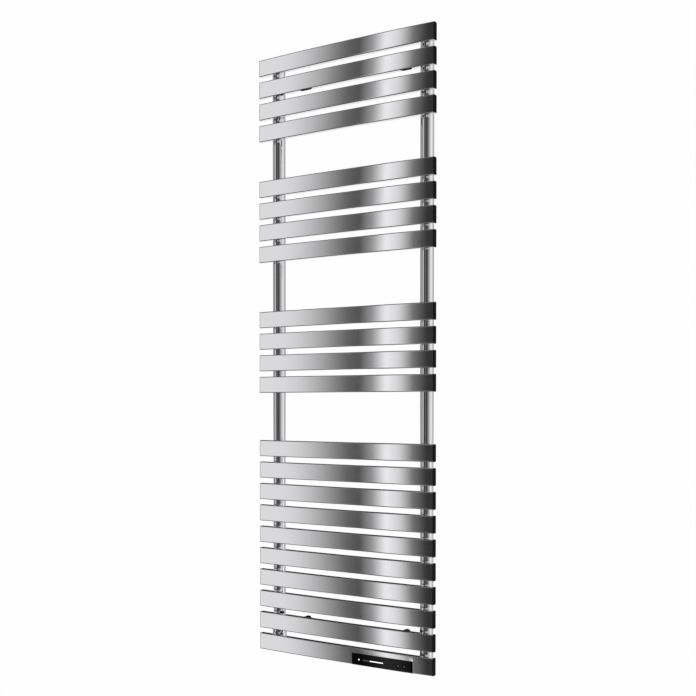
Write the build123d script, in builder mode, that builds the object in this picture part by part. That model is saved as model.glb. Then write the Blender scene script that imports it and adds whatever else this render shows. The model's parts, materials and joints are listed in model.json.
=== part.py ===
from build123d import *

"""Electric towel warmer rack.

Twenty-two flat slats, gently bowed in plan, stand in four groups on two round uprights. The uprights and
all slats but the lowest are one welded, fluid-filled circuit. A heating element screws into the foot of the
left upright. The lowest slat is dry: it is the fascia of the control, with a glass panel in its front and the
power housing behind it. Four round posts hold the rack off the wall.

Frame, in millimetres: +X is right as seen from the front, +Y points into the wall and +Z is up. The origin is
on the wall plane, at the centre of the pattern of the four wall screws.
"""

import os
from math import cos, radians, sin, sqrt, tan

# ---- Driving dimensions -------------------------------------------------------------------------------
rack_width = 500.0  # over the end caps
slat_height = 41.0
slat_depth = 14.0  # front to back
slat_wall = 1.2
slat_corner = 2.5  # radius along the slat's four long edges
slat_bow = 5.0  # how far the middle of a slat stands in front of its ends
slat_gap = 14.0  # between the slats of one group
group_sizes = (4, 4, 4, 10)  # slats in each group, from the top
towel_openings = (100.0, 125.0, 121.0)  # between the groups, from the top
stand_off = 69.0  # wall to the front of a slat's ends

cap_flange = 1.2
cap_plug_depth = 12.0
cap_clearance = 0.1

upright_radius = 16.0
upright_wall = 1.5
upright_inset = 36.0  # rack end to upright axis
upright_gap = 6.0  # slat back, at the rack's ends, to the upright
upright_top_drop = 8.0  # below the rack's top edge
upright_foot_rise = 6.0  # right upright's foot above the rack's lowest edge
upright_cap_thickness = 2.5
upright_cap_plug = 8.0
plug_flange = 4.0
plug_setback = 2.5  # upright's outside to the filler plug's flange
plug_socket_radius = 5.0

spigot_radius = 9.0
spigot_wall = 2.0
spigot_reach = 1.0  # past the walls it joins
weld_gap = 0.05

post_inset = 105.0  # rack end to post axis
upper_post_slat = 2  # counted from the top slat, which is 0
upper_post_drop = 9.5  # below that slat's top edge
lower_post_slat = 20
sleeve_radius = 10.0
sleeve_wall = 2.5
sleeve_clearance = 0.2
boss_flange = 3.0
boss_length = 20.0  # of the hub inside the sleeve
stud_length = 22.0
wall_screw_radius = 3.0
wall_screw_head_radius = 5.2
wall_screw_seat = 6.0  # boss left under the screw head
grub_radius = 2.0
grub_clearance = 0.1
grub_setback = 10.0  # from each end of the sleeve

panel_inset = 52.0  # rack's right end to the panel's right edge
panel_width = 166.0
panel_height = 28.0
panel_gap = 0.15
glass_thickness = 3.0
lens_radius = 3.0
lens_from_left = 20.0
indicator_height = 13.5  # of the lens and bar axis, above the rack's lowest edge
bar_from_left = 30.7
bar_dim_length = 19.7
bar_lit_length = 36.1
bar_height = 4.4
light_guide_depth = 4.0
light_guide_gap = 0.1

key_radius = 4.5
key_gap = 0.3
key_height = 13.0  # of the key axes, above the rack's lowest edge
key_from_left = (127.5, 143.7)
key_travel = 0.5
key_flange_radius = 5.8
key_flange_thickness = 0.8
key_flange_gap = 0.3
key_stem_radius = 2.5
key_stem_length = 0.9
key_guide_gap = 0.3
key_switch_size = 6.0
key_switch_clearance = 0.1

board_thickness = 1.6
board_inset = 9.0  # slat front to the control board's front
board_margin = 4.0
led_size = 1.6
led_height = 1.0
led_count = 6

chassis_wall = 2.0
chassis_gap = 0.2
wiring_slot_length = 30.0
wiring_slot_height = 10.0
wiring_slot_from_left = 78.0

housing_margin = 2.0  # panel's left edge to the housing's left side
housing_upright_gap = 4.0
housing_depth = 33.0  # behind the back of a slat's ends
housing_height = 22.5  # low enough to stay out of sight behind the fascia
housing_rise = 6.0  # above the rack's lowest edge
housing_wall = 2.0
cover_thickness = 2.5
cover_screw_radius = 1.5
cover_screw_head = 2.8
cover_screw_length = 12.0
cover_screw_inset = (12.0, 4.0)  # from the housing's sides, from its top and underside
screw_post_radius = 2.8
screw_gap = 0.1

power_board_from_left = 46.0
power_board_length = 100.0
power_board_height = 17.0
power_board_setback = 17.0  # housing's open side to the board's wall side
relay_size = (20.0, 12.0, 15.0)
terminal_block_size = (24.0, 10.0, 11.0)
board_part_gap = 14.0

switch_from_left = 27.0
switch_body = (19.0, 12.8)
switch_bezel = (21.0, 15.0)
switch_bezel_thickness = 2.0
switch_body_height = 13.0
switch_fit = 0.15
rocker_length = 16.0
rocker_width = 10.0
rocker_gap = 0.7
rocker_tilt = 10.0  # degrees each way
rocker_pivot_rise = 2.0  # above the housing's underside
rocker_pivot_radius = 1.5
rocker_pivot_gap = 0.05
rocker_face_drop = 1.7  # pivot to the line where its two faces meet
rocker_back = 3.0

gland_bore = 3.3
gland_thread_radius = 5.0
gland_nut_radius = 6.4  # across the corners
gland_nut_length = 5.0
gland_dome_radius = 5.4
gland_dome_length = 8.0
gland_inner_length = 6.0
gland_from_back = 9.0  # housing's open side to the gland axis
gland_hole_gap = 0.1

terminal_box_size = 38.0
terminal_box_height = 23.0
terminal_box_rise = 4.0
terminal_box_wall = 2.0
terminal_box_corner = 5.0
lug_radius = 6.0

collar_radius = 18.5
collar_cover = 5.0  # how far the collar and seal reach behind the slat above
seal_thickness = 1.5
seal_width = 4.0
element_radius = 6.0
element_length = 700.0
element_boss_radius = 10.0
element_boss_depth = 14.0  # inside the upright
element_tail = 6.0  # inside the terminal box
element_gap = 0.1

duct_size = (12.0, 14.0)
duct_wall = 1.5
duct_setback = 5.0  # behind the slat's back
duct_rise = 12.0
duct_gap = 0.1
lead_radius = 2.0
lead_entry = 6.0

# ---- Places that follow from them ---------------------------------------------------------------------
slat_count = sum(group_sizes)
inner_gaps = slat_count - len(group_sizes)
rack_height = slat_count * slat_height + inner_gaps * slat_gap + sum(towel_openings)
half_width = rack_width / 2
slat_half = half_width - cap_flange
bow_radius = half_width**2 / (2 * slat_bow) + slat_bow / 2
bow_centre_y = bow_radius - slat_bow - stand_off


def slat_levels():
    """Heights of the slats' lower edges above the rack's lowest edge, from the top slat down."""
    levels = []
    edge = rack_height
    for size, opening in zip(group_sizes, towel_openings + (0.0,)):
        for _ in range(size):
            edge -= slat_height
            levels.append(edge)
            edge -= slat_gap
        edge += slat_gap - opening
    return levels


levels = slat_levels()
upper_post_level = levels[upper_post_slat] + slat_height - upper_post_drop
lower_post_level = levels[lower_post_slat] + slat_height / 2
foot_z = -(upper_post_level + lower_post_level) / 2
slat_bottoms = [level + foot_z for level in levels]
slat_middles = [bottom + slat_height / 2 for bottom in slat_bottoms]
fascia_bottom = slat_bottoms[-1]

upright_x = half_width - upright_inset
upright_y = -stand_off + slat_depth + upright_gap + upright_radius
upright_top = foot_z + rack_height - upright_top_drop
collar_top = slat_bottoms[-2] + collar_cover - seal_thickness
left_foot = collar_top + seal_thickness
right_foot = foot_z + upright_foot_rise

post_x = half_width - post_inset
post_heights = (upper_post_level + foot_z, lower_post_level + foot_z)
hub_radius = sleeve_radius - sleeve_wall - sleeve_clearance

panel_right = half_width - panel_inset
panel_left = panel_right - panel_width
indicator_z = foot_z + indicator_height
key_z = foot_z + key_height
key_places = [panel_left + distance for distance in key_from_left]

housing_left = panel_left - housing_margin
housing_right = upright_x - upright_radius - housing_upright_gap
housing_bottom = foot_z + housing_rise
housing_middle_z = housing_bottom + housing_height / 2
housing_back = -stand_off + slat_depth + housing_depth
switch_x = housing_left + switch_from_left
switch_y = housing_back - housing_depth / 2
pivot_z = housing_bottom + rocker_pivot_rise
gland_y = housing_back - gland_from_back

terminal_box_bottom = foot_z + terminal_box_rise
terminal_box_top = terminal_box_bottom + terminal_box_height
duct_left = -upright_x + terminal_box_size / 2 + duct_gap
duct_right = housing_left - duct_gap
duct_bottom = foot_z + duct_rise
duct_near = slat_depth + duct_setback
duct_far = duct_near + duct_size[0]


def face_y(x, inset=0.0):
    """Y of the bowed surface that lies `inset` behind the slats' front face, at this x."""
    return bow_centre_y - sqrt((bow_radius - inset) ** 2 - x**2)


def bowed_plan(height, left, right, near, far):
    """Plan, at this height, of a piece that follows the bow between two depths behind the front face."""
    middle = (left + right) / 2
    with BuildSketch(Plane.XY.offset(height)) as plan:
        with BuildLine():
            ends = (left, middle, right)
            front = ThreePointArc(*[(x, face_y(x, near)) for x in ends])
            back = ThreePointArc(*[(x, face_y(x, far)) for x in ends])
            Line(front @ 0, back @ 0)
            Line(front @ 1, back @ 1)
        make_face()
    return plan.sketch


def save(piece, name):
    """Label a finished piece and write its STEP file."""
    piece.label = name
    export_step(piece, f"parts/{name}.step")


# ---- Slats and their end caps -------------------------------------------------------------------------
def make_slat(bottom, ports):
    """Hollow bowed tube, open at its ends, with a round port in its back wall at each x in `ports`."""
    cavity_height = slat_height - 2 * slat_wall
    with BuildPart() as slat:
        extrude(bowed_plan(bottom, -slat_half, slat_half, 0, slat_depth), amount=slat_height)
        fillet(slat.edges().filter_by(GeomType.CIRCLE), radius=slat_corner)
        cavity = bowed_plan(bottom + slat_wall, -slat_half, slat_half, slat_wall, slat_depth - slat_wall)
        extrude(cavity, amount=cavity_height, mode=Mode.SUBTRACT)
        with BuildSketch(Plane.XZ.offset(stand_off - slat_depth / 2)):
            with Locations(*[(x, bottom + slat_height / 2) for x in ports]):
                Circle(spigot_radius + weld_gap)
        extrude(amount=-slat_depth, mode=Mode.SUBTRACT)
    return slat.part


def make_fascia():
    """Lowest slat, cut away in front for the glass panel and slotted behind for its wiring."""
    shell = make_slat(fascia_bottom, [upright_x])
    cut_left = panel_left - panel_gap
    cut_right = panel_right + panel_gap
    slot_x = panel_left + wiring_slot_from_left
    with BuildPart() as fascia:
        add(shell)
        window = bowed_plan(fascia_bottom - 1, cut_left, cut_right, -1, glass_thickness)
        extrude(window, amount=panel_height + panel_gap + 1, mode=Mode.SUBTRACT)
        with BuildSketch(Plane.XZ.offset(stand_off - slat_depth / 2)):
            with Locations((slot_x, housing_middle_z)):
                Rectangle(wiring_slot_length, wiring_slot_height)
        extrude(amount=-slat_depth, mode=Mode.SUBTRACT)
    return fascia.part


def make_end_caps(side):
    """Plugs for the slats' ends on one side, -1 for left and 1 for right: a flange and a hollow tongue."""
    flange = sorted((side * slat_half, side * half_width))
    tongue = sorted((side * (slat_half - cap_plug_depth), side * slat_half))
    inner = slat_wall + cap_clearance
    with BuildPart() as caps:
        for bottom in slat_bottoms:
            extrude(bowed_plan(bottom, *flange, 0, slat_depth), amount=slat_height)
        fillet(caps.edges().filter_by(GeomType.CIRCLE), radius=slat_corner)
        for bottom in slat_bottoms:
            tongue_plan = bowed_plan(bottom + inner, *tongue, inner, slat_depth - inner)
            extrude(tongue_plan, amount=slat_height - 2 * inner)
            hollow = inner + slat_wall
            hollow_plan = bowed_plan(bottom + hollow, *tongue, hollow, slat_depth - hollow)
            extrude(hollow_plan, amount=slat_height - 2 * hollow, mode=Mode.SUBTRACT)
    return caps.part


# ---- Uprights -----------------------------------------------------------------------------------------
def make_upright(x, foot, ports):
    """Round tube from `foot` to the common top, with a port in its front wall at each height in `ports`."""
    with BuildPart() as upright:
        with BuildSketch(Plane.XY.offset(foot)):
            with Locations((x, upright_y)):
                Circle(upright_radius)
                Circle(upright_radius - upright_wall, mode=Mode.SUBTRACT)
        extrude(amount=upright_top - foot)
        with BuildSketch(Plane.XZ.offset(-upright_y)):
            with Locations(*[(x, height) for height in ports]):
                Circle(spigot_radius + weld_gap)
        extrude(amount=2 * upright_radius, mode=Mode.SUBTRACT)
    return upright.part


def make_spigots(x, heights):
    """Short tubes that carry the fluid into the slats and hold them off an upright, saddle-cut inside it."""
    start = face_y(x, slat_depth - slat_wall) - spigot_reach
    with BuildPart() as spigots:
        with BuildSketch(Plane.XZ.offset(-start)):
            with Locations(*[(x, height) for height in heights]):
                Circle(spigot_radius)
                Circle(spigot_radius - spigot_wall, mode=Mode.SUBTRACT)
        extrude(amount=start - upright_y)
        with BuildSketch(Plane.XY.offset(foot_z)):
            with Locations((x, upright_y)):
                Circle(upright_radius - upright_wall)
        extrude(amount=rack_height, mode=Mode.SUBTRACT)
    return spigots.part


def make_upright_caps():
    """Welded lids that close the tops of both uprights."""
    with BuildPart() as caps:
        with BuildSketch(Plane.XY.offset(upright_top)):
            with Locations((-upright_x, upright_y), (upright_x, upright_y)):
                Circle(upright_radius)
        extrude(amount=upright_cap_thickness)
        fillet(caps.faces().group_by(Axis.Z)[-1].edges(), radius=upright_cap_thickness / 2)
        with BuildSketch(Plane.XY.offset(upright_top)):
            with Locations((-upright_x, upright_y), (upright_x, upright_y)):
                Circle(upright_radius - upright_wall - weld_gap)
        extrude(amount=-upright_cap_plug)
    return caps.part


def make_filler_plug():
    """Threaded plug in the foot of the right upright, through which the circuit is filled."""
    with BuildPart() as plug:
        with BuildSketch(Plane.XY.offset(right_foot)):
            with Locations((upright_x, upright_y)):
                Circle(upright_radius - upright_wall - weld_gap)
        extrude(amount=upright_cap_plug)
        with BuildSketch(Plane.XY.offset(right_foot)):
            with Locations((upright_x, upright_y)):
                Circle(upright_radius - plug_setback)
        extrude(amount=-plug_flange)
        with BuildSketch(Plane.XY.offset(right_foot - plug_flange)):
            with Locations((upright_x, upright_y)):
                RegularPolygon(plug_socket_radius, 6)
        extrude(amount=plug_flange + 1, mode=Mode.SUBTRACT)
    return plug.part


# ---- Wall posts ---------------------------------------------------------------------------------------
def post_grid():
    """Sketch locations of the four posts on a plane that is parallel to the wall."""
    return [(side * post_x, height) for side in (-1, 1) for height in post_heights]


def make_wall_bosses():
    """Turned hubs that the wall screws clamp to the wall, each with a seat for the screw head."""
    hub_end = boss_flange + boss_length
    with BuildPart() as bosses:
        for radius, length in ((sleeve_radius, boss_flange), (hub_radius, hub_end)):
            with BuildSketch(Plane.XZ):
                with Locations(*post_grid()):
                    Circle(radius)
            extrude(amount=length)
        with BuildSketch(Plane.XZ):
            with Locations(*post_grid()):
                Circle(wall_screw_radius)
        extrude(amount=hub_end, mode=Mode.SUBTRACT)
        with BuildSketch(Plane.XZ.offset(wall_screw_seat)):
            with Locations(*post_grid()):
                Circle(wall_screw_head_radius)
        extrude(amount=hub_end, mode=Mode.SUBTRACT)
    return bosses.part


def sleeve_front():
    """Y of the sleeves' front ends, just clear of the bowed backs of the slats."""
    return face_y(post_x + sleeve_radius, slat_depth) + weld_gap


def grub_depths():
    """Y of the two grub screws in each sleeve: one on the wall boss and one on the rack stud."""
    return (-boss_flange - grub_setback, sleeve_front() + grub_setback)


def make_post_sleeves():
    """Black tubes between the wall bosses and the slats, drilled underneath for the grub screws."""
    length = -boss_flange - sleeve_front()
    with BuildPart() as sleeves:
        with BuildSketch(Plane.XZ.offset(boss_flange)):
            with Locations(*post_grid()):
                Circle(sleeve_radius)
                Circle(sleeve_radius - sleeve_wall, mode=Mode.SUBTRACT)
        extrude(amount=length)
        for height in post_heights:
            with BuildSketch(Plane.XY.offset(height)):
                with Locations(*[(side * post_x, y) for side in (-1, 1) for y in grub_depths()]):
                    Circle(grub_radius + grub_clearance)
            extrude(amount=-sleeve_radius - 1, mode=Mode.SUBTRACT)
    return sleeves.part


def make_rack_studs():
    """Studs welded to the backs of two slats, which the sleeves slide over."""
    start = face_y(post_x + hub_radius, slat_depth) + weld_gap
    with BuildPart() as studs:
        with BuildSketch(Plane.XZ.offset(-start)):
            with Locations(*post_grid()):
                Circle(hub_radius)
        extrude(amount=-stud_length)
        chamfer(studs.faces().group_by(Axis.Y)[-1].edges(), length=1.0)
    return studs.part


def make_grub_screws():
    """Two grub screws for each post, flush with the underside of its sleeve."""
    with BuildPart() as grubs:
        for height in post_heights:
            with BuildSketch(Plane.XY.offset(height - hub_radius - weld_gap)):
                with Locations(*[(side * post_x, y) for side in (-1, 1) for y in grub_depths()]):
                    Circle(grub_radius)
            extrude(amount=hub_radius - sleeve_radius + weld_gap)
    return grubs.part


# ---- Control panel in the fascia ----------------------------------------------------------------------
def panel_hole(shape_x, height):
    """Sketch plane location for something on the panel, measured from its left edge."""
    return (panel_left + shape_x, height)


def make_glass_panel():
    """Black glass that follows the bow, with openings for the keys, the lens and the light bar."""
    bar_length = bar_dim_length + bar_lit_length + light_guide_gap
    with BuildPart() as glass:
        plan = bowed_plan(fascia_bottom, panel_left, panel_right, 0, glass_thickness)
        extrude(plan, amount=panel_height)
        with BuildSketch(Plane.XZ.offset(stand_off - glass_thickness)):
            with Locations(*[(x, key_z) for x in key_places]):
                Circle(key_radius + key_gap)
            with Locations(panel_hole(lens_from_left, indicator_z)):
                Circle(lens_radius + light_guide_gap)
            with Locations(panel_hole(bar_from_left + bar_length / 2, indicator_z)):
                Rectangle(bar_length + 2 * light_guide_gap, bar_height + 2 * light_guide_gap)
        extrude(amount=slat_depth, both=True, mode=Mode.SUBTRACT)
    return glass.part


def make_key(x):
    """Push key: a round head in the glass, a flange that keeps it in, and a stem for its switch."""
    front = face_y(x)
    flange_front = front + glass_thickness + key_flange_gap
    head_length = flange_front - front
    with BuildPart() as key:
        with BuildSketch(Plane.XZ.offset(-front)):
            with Locations((x, key_z)):
                Circle(key_radius)
        extrude(amount=-head_length)
        fillet(key.faces().sort_by(Axis.Y)[0].edges(), radius=0.3)
        with BuildSketch(Plane.XZ.offset(-flange_front)):
            with Locations((x, key_z)):
                Circle(key_flange_radius)
        extrude(amount=-key_flange_thickness)
        with BuildSketch(Plane.XZ.offset(-flange_front)):
            with Locations((x, key_z)):
                Circle(key_stem_radius)
        extrude(amount=-key_flange_thickness - key_stem_length)
    return key.part


def key_stem_inset():
    """Depth of a key's stem end behind the fascia's front, at rest."""
    return glass_thickness + key_flange_gap + key_flange_thickness + key_stem_length


def make_status_lens():
    """Round light guide at the left of the panel."""
    x = panel_left + lens_from_left
    with BuildPart() as lens:
        with BuildSketch(Plane.XZ.offset(-face_y(x))):
            with Locations((x, indicator_z)):
                Circle(lens_radius)
        extrude(amount=-light_guide_depth)
    return lens.part


def make_bar(from_left, length):
    """One length of the light bar, which follows the bow of the glass."""
    left = panel_left + from_left
    with BuildPart() as bar:
        plan = bowed_plan(indicator_z - bar_height / 2, left, left + length, 0, light_guide_depth)
        extrude(plan, amount=bar_height)
    return bar.part


def make_panel_chassis():
    """Plastic frame behind the glass: open behind the light guides, solid around the two key guides."""
    near = glass_thickness + chassis_gap
    far = board_inset - chassis_gap
    bottom = fascia_bottom + slat_wall + chassis_gap
    height = panel_height - slat_wall - chassis_gap
    left = panel_left + chassis_gap
    right = panel_right - chassis_gap
    guide_radius = key_flange_radius + key_guide_gap
    pocket_right = key_places[0] - guide_radius - chassis_wall
    with BuildPart() as chassis:
        extrude(bowed_plan(bottom, left, right, near, far), amount=height)
        pocket = bowed_plan(bottom + chassis_wall, left + chassis_wall, pocket_right, near - 1, far + 1)
        extrude(pocket, amount=height - 2 * chassis_wall, mode=Mode.SUBTRACT)
        with BuildSketch(Plane.XZ.offset(stand_off + slat_depth)):
            with Locations(*[(x, key_z) for x in key_places]):
                Circle(guide_radius)
        extrude(amount=-3 * slat_depth, mode=Mode.SUBTRACT)
    return chassis.part


def make_control_board():
    """Circuit board across the back of the chassis, bowed with it."""
    far = board_inset + board_thickness
    bottom = fascia_bottom + slat_wall + chassis_gap
    with BuildPart() as board:
        plan = bowed_plan(bottom, panel_left + board_margin, panel_right - board_margin, board_inset, far)
        extrude(plan, amount=panel_height - board_margin)
    return board.part


def make_key_switches():
    """Tactile switches on the board, one behind each key."""
    front = key_stem_inset() + key_travel + key_switch_clearance
    with BuildPart() as switches:
        for x in key_places:
            half = key_switch_size / 2
            plan = bowed_plan(key_z - half, x - half, x + half, front, board_inset)
            extrude(plan, amount=key_switch_size)
    return switches.part


def make_board_leds():
    """Light-emitting diodes behind the lens and along the bar."""
    bar_start = panel_left + bar_from_left
    step = (bar_dim_length + bar_lit_length) / (led_count - 1)
    places = [panel_left + lens_from_left] + [bar_start + step * (k + 0.5) for k in range(led_count - 1)]
    near = board_inset - led_height
    with BuildPart() as leds:
        for x in places:
            half = led_size / 2
            plan = bowed_plan(indicator_z - half, x - half, x + half, near, board_inset)
            extrude(plan, amount=led_size)
    return leds.part


# ---- Power housing behind the fascia ------------------------------------------------------------------
def housing_plan(height, margin, near, back):
    """Plan of the housing: its front follows the slat's bowed back, its other sides are straight."""
    left = housing_left + margin
    right = housing_right - margin
    middle = (left + right) / 2
    with BuildSketch(Plane.XY.offset(height)) as plan:
        with BuildLine():
            front = ThreePointArc(*[(x, face_y(x, near)) for x in (left, middle, right)])
            Polyline(front @ 0, (left, back), (right, back), front @ 1)
        make_face()
    return plan.sketch


def screw_places():
    """Sketch locations of the cover's four screws."""
    x_middle = (housing_left + housing_right) / 2
    x_reach = (housing_right - housing_left) / 2 - cover_screw_inset[0]
    z_reach = housing_height / 2 - cover_screw_inset[1]
    return [(x_middle + a * x_reach, housing_middle_z + b * z_reach) for a in (-1, 1) for b in (-1, 1)]


def make_rear_housing():
    """Open-backed tub that carries the power board, the switch and the cable gland."""
    inner_near = slat_depth + housing_wall
    cavity_height = housing_height - 2 * housing_wall
    duct_middle = duct_bottom + duct_size[1] / 2
    with BuildPart() as housing:
        extrude(housing_plan(housing_bottom, 0, slat_depth, housing_back), amount=housing_height)
        cavity = housing_plan(housing_bottom + housing_wall, housing_wall, inner_near, housing_back + 1)
        extrude(cavity, amount=cavity_height, mode=Mode.SUBTRACT)
        with BuildSketch(Plane.XZ.offset(-housing_back)):
            with Locations(*screw_places()):
                Circle(screw_post_radius)
        extrude(amount=housing_depth - housing_wall)
        with BuildSketch(Plane.XZ.offset(-housing_back)):
            with Locations(*screw_places()):
                Circle(cover_screw_radius + screw_gap)
        extrude(amount=cover_screw_length, mode=Mode.SUBTRACT)
        slot_x = panel_left + wiring_slot_from_left
        with BuildSketch(Plane.XZ.offset(-housing_back + housing_depth / 2)):
            with Locations((slot_x, housing_middle_z)):
                Rectangle(wiring_slot_length, wiring_slot_height)
        extrude(amount=housing_depth, mode=Mode.SUBTRACT)
        with BuildSketch(Plane.YZ.offset(housing_left)):
            with Locations((face_y(housing_left, duct_near + duct_size[0] / 2), duct_middle)):
                Rectangle(duct_size[0] - 2 * duct_wall, duct_size[1] - 2 * duct_wall)
            with Locations((gland_y, housing_middle_z)):
                Circle(gland_thread_radius + gland_hole_gap)
        extrude(amount=housing_wall, both=True, mode=Mode.SUBTRACT)
        with BuildSketch(Plane.XY.offset(housing_bottom)):
            with Locations((switch_x, switch_y)):
                Rectangle(switch_body[0] + 2 * switch_fit, switch_body[1] + 2 * switch_fit)
        extrude(amount=housing_wall, both=True, mode=Mode.SUBTRACT)
    return housing.part


def make_rear_cover():
    """Flat lid on the wall side of the housing, countersunk for its screws."""
    x_middle = (housing_left + housing_right) / 2
    with BuildPart() as cover:
        with BuildSketch(Plane.XZ.offset(-housing_back)):
            with Locations((x_middle, housing_middle_z)):
                RectangleRounded(housing_right - housing_left, housing_height, 2.0)
        extrude(amount=-cover_thickness)
        with BuildSketch(Plane.XZ.offset(-housing_back)):
            with Locations(*screw_places()):
                Circle(cover_screw_radius + screw_gap)
        extrude(amount=-cover_thickness, mode=Mode.SUBTRACT)
        with BuildSketch(Plane.XZ.offset(-housing_back - cover_thickness / 2)):
            with Locations(*screw_places()):
                Circle(cover_screw_head + screw_gap)
        extrude(amount=-cover_thickness, mode=Mode.SUBTRACT)
    return cover.part


def make_cover_screws():
    """Cross-head screws that hold the rear cover."""
    head_plane = housing_back + cover_thickness / 2
    with BuildPart() as screws:
        with BuildSketch(Plane.XZ.offset(-head_plane)):
            with Locations(*screw_places()):
                Circle(cover_screw_head)
        extrude(amount=-cover_thickness / 2)
        with BuildSketch(Plane.XZ.offset(-head_plane)):
            with Locations(*screw_places()):
                Circle(cover_screw_radius)
        extrude(amount=cover_screw_length)
        with BuildSketch(Plane.XZ.offset(-housing_back - cover_thickness)):
            with Locations(*screw_places()):
                Rectangle(cover_screw_head, cover_screw_radius / 3)
                Rectangle(cover_screw_radius / 3, cover_screw_head)
        extrude(amount=cover_thickness / 3, mode=Mode.SUBTRACT)
    return screws.part


def board_back():
    """Y of the power board's wall side."""
    return housing_back - power_board_setback


def make_power_board():
    """Circuit board that switches the heating element."""
    left = housing_left + power_board_from_left
    with BuildPart() as board:
        with BuildSketch(Plane.XZ.offset(-board_back())):
            with Locations((left + power_board_length / 2, housing_middle_z)):
                Rectangle(power_board_length, power_board_height)
        extrude(amount=board_thickness)
    return board.part


def make_on_board(from_left, size):
    """Block-shaped component on the wall side of the power board."""
    left = housing_left + power_board_from_left + from_left
    with BuildPart() as component:
        with BuildSketch(Plane.XZ.offset(-board_back())):
            with Locations((left + size[0] / 2, housing_middle_z)):
                Rectangle(size[0], size[2])
        extrude(amount=-size[1])
        fillet(component.faces().sort_by(Axis.Y)[-1].edges(), radius=0.6)
    return component.part


# ---- Mains switch and cable inlet ---------------------------------------------------------------------
def make_switch_frame():
    """Snap-in body of the mains switch: a bezel under the housing and a box with the rocker's pocket."""
    pocket_length = rocker_length + 2 * rocker_gap
    pocket_width = rocker_width + 2 * rocker_gap
    depth = switch_bezel_thickness + switch_body_height
    with BuildPart() as frame:
        with BuildSketch(Plane.XY.offset(housing_bottom)):
            with Locations((switch_x, switch_y)):
                RectangleRounded(*switch_bezel, 1.5)
        extrude(amount=-switch_bezel_thickness)
        with BuildSketch(Plane.XY.offset(housing_bottom)):
            with Locations((switch_x, switch_y)):
                Rectangle(*switch_body)
        extrude(amount=switch_body_height)
        with BuildSketch(Plane.XY.offset(housing_bottom - switch_bezel_thickness)):
            with Locations((switch_x, switch_y)):
                Rectangle(pocket_length, pocket_width)
        extrude(amount=depth - 2.0, mode=Mode.SUBTRACT)
        with BuildSketch(Plane.XZ.offset(-switch_y)):
            with Locations((switch_x, pivot_z)):
                Circle(rocker_pivot_radius + rocker_pivot_gap)
        extrude(amount=switch_bezel[1], both=True, mode=Mode.SUBTRACT)
    return frame.part


def make_rocker():
    """Rocker with two shallow faces that meet under its pivot, at rest with its right end pressed in."""
    radius = rocker_length / 2
    rise = radius * tan(radians(rocker_tilt))
    along = (cos(radians(rocker_tilt)), 0, sin(radians(rocker_tilt)))
    tilted = Plane(origin=(switch_x, switch_y, pivot_z), x_dir=along, z_dir=(0, -1, 0))
    with BuildPart() as rocker:
        with BuildSketch(tilted):
            with BuildLine():
                Polyline(
                    (0, -rocker_face_drop),
                    (radius, -rocker_face_drop - rise),
                    (radius, rocker_back),
                    (-radius, rocker_back),
                    (-radius, -rocker_face_drop - rise),
                    close=True,
                )
            make_face()
        extrude(amount=rocker_width / 2, both=True)
        with BuildSketch(tilted):
            Circle(rocker_pivot_radius)
        extrude(amount=switch_body[1] / 2, both=True)
    return rocker.part


def make_cable_gland():
    """Cable inlet in the housing's left wall: locking nut inside, hexagon and domed nut outside."""
    inside = housing_left + gland_inner_length + housing_wall
    outer = housing_left - gland_nut_length
    with BuildPart() as gland:
        with BuildSketch(Plane.YZ.offset(inside)):
            with Locations((gland_y, housing_middle_z)):
                Circle(gland_thread_radius)
        extrude(amount=outer - inside)
        with BuildSketch(Plane.YZ.offset(housing_left)):
            with Locations((gland_y, housing_middle_z)):
                RegularPolygon(gland_nut_radius, 6)
        extrude(amount=-gland_nut_length)
        with BuildSketch(Plane.YZ.offset(outer)):
            with Locations((gland_y, housing_middle_z)):
                Circle(gland_dome_radius)
        extrude(amount=-gland_dome_length)
        fillet(gland.faces().sort_by(Axis.X)[0].edges(), radius=2.0)
        with BuildSketch(Plane.YZ.offset(housing_left + housing_wall)):
            with Locations((gland_y, housing_middle_z)):
                RegularPolygon(gland_nut_radius, 6)
        extrude(amount=gland_nut_length / 2)
        with BuildSketch(Plane.YZ.offset(inside)):
            with Locations((gland_y, housing_middle_z)):
                Circle(gland_bore)
        extrude(amount=-2 * gland_dome_length - 2 * gland_nut_length, mode=Mode.SUBTRACT)
    return gland.part


# ---- Heater at the foot of the left upright -----------------------------------------------------------
def make_element():
    """Sheathed heating rod brazed into a threaded boss that closes the upright's foot."""
    boss_bottom = terminal_box_top - element_tail
    boss_top = left_foot + element_boss_depth
    with BuildPart() as element:
        with BuildSketch(Plane.XY.offset(boss_bottom)):
            with Locations((-upright_x, upright_y)):
                Circle(element_boss_radius)
        extrude(amount=boss_top - boss_bottom)
        with BuildSketch(Plane.XY.offset(left_foot + weld_gap)):
            with Locations((-upright_x, upright_y)):
                Circle(upright_radius - upright_wall - weld_gap)
        extrude(amount=element_boss_depth)
        with BuildSketch(Plane.XY.offset(boss_top)):
            with Locations((-upright_x, upright_y)):
                Circle(element_radius)
        extrude(amount=element_length)
        fillet(element.faces().sort_by(Axis.Z)[-1].edges(), radius=element_radius / 2)
    return element.part


def make_ring(bottom, top, outer, inner):
    """Round ring on the left upright's axis."""
    with BuildPart() as ring:
        with BuildSketch(Plane.XY.offset(bottom)):
            with Locations((-upright_x, upright_y)):
                Circle(outer)
                Circle(inner, mode=Mode.SUBTRACT)
        extrude(amount=top - bottom)
    return ring.part


def make_collar():
    """Plated collar that hides the joint between the upright and the terminal box."""
    bore = element_boss_radius + element_gap
    collar = make_ring(terminal_box_top, collar_top, collar_radius, bore)
    with BuildPart() as softened:
        add(collar)
        rims = softened.edges().filter_by(GeomType.CIRCLE).filter_by(lambda edge: edge.radius > bore + 1)
        chamfer(rims, length=0.8)
    return softened.part


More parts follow.
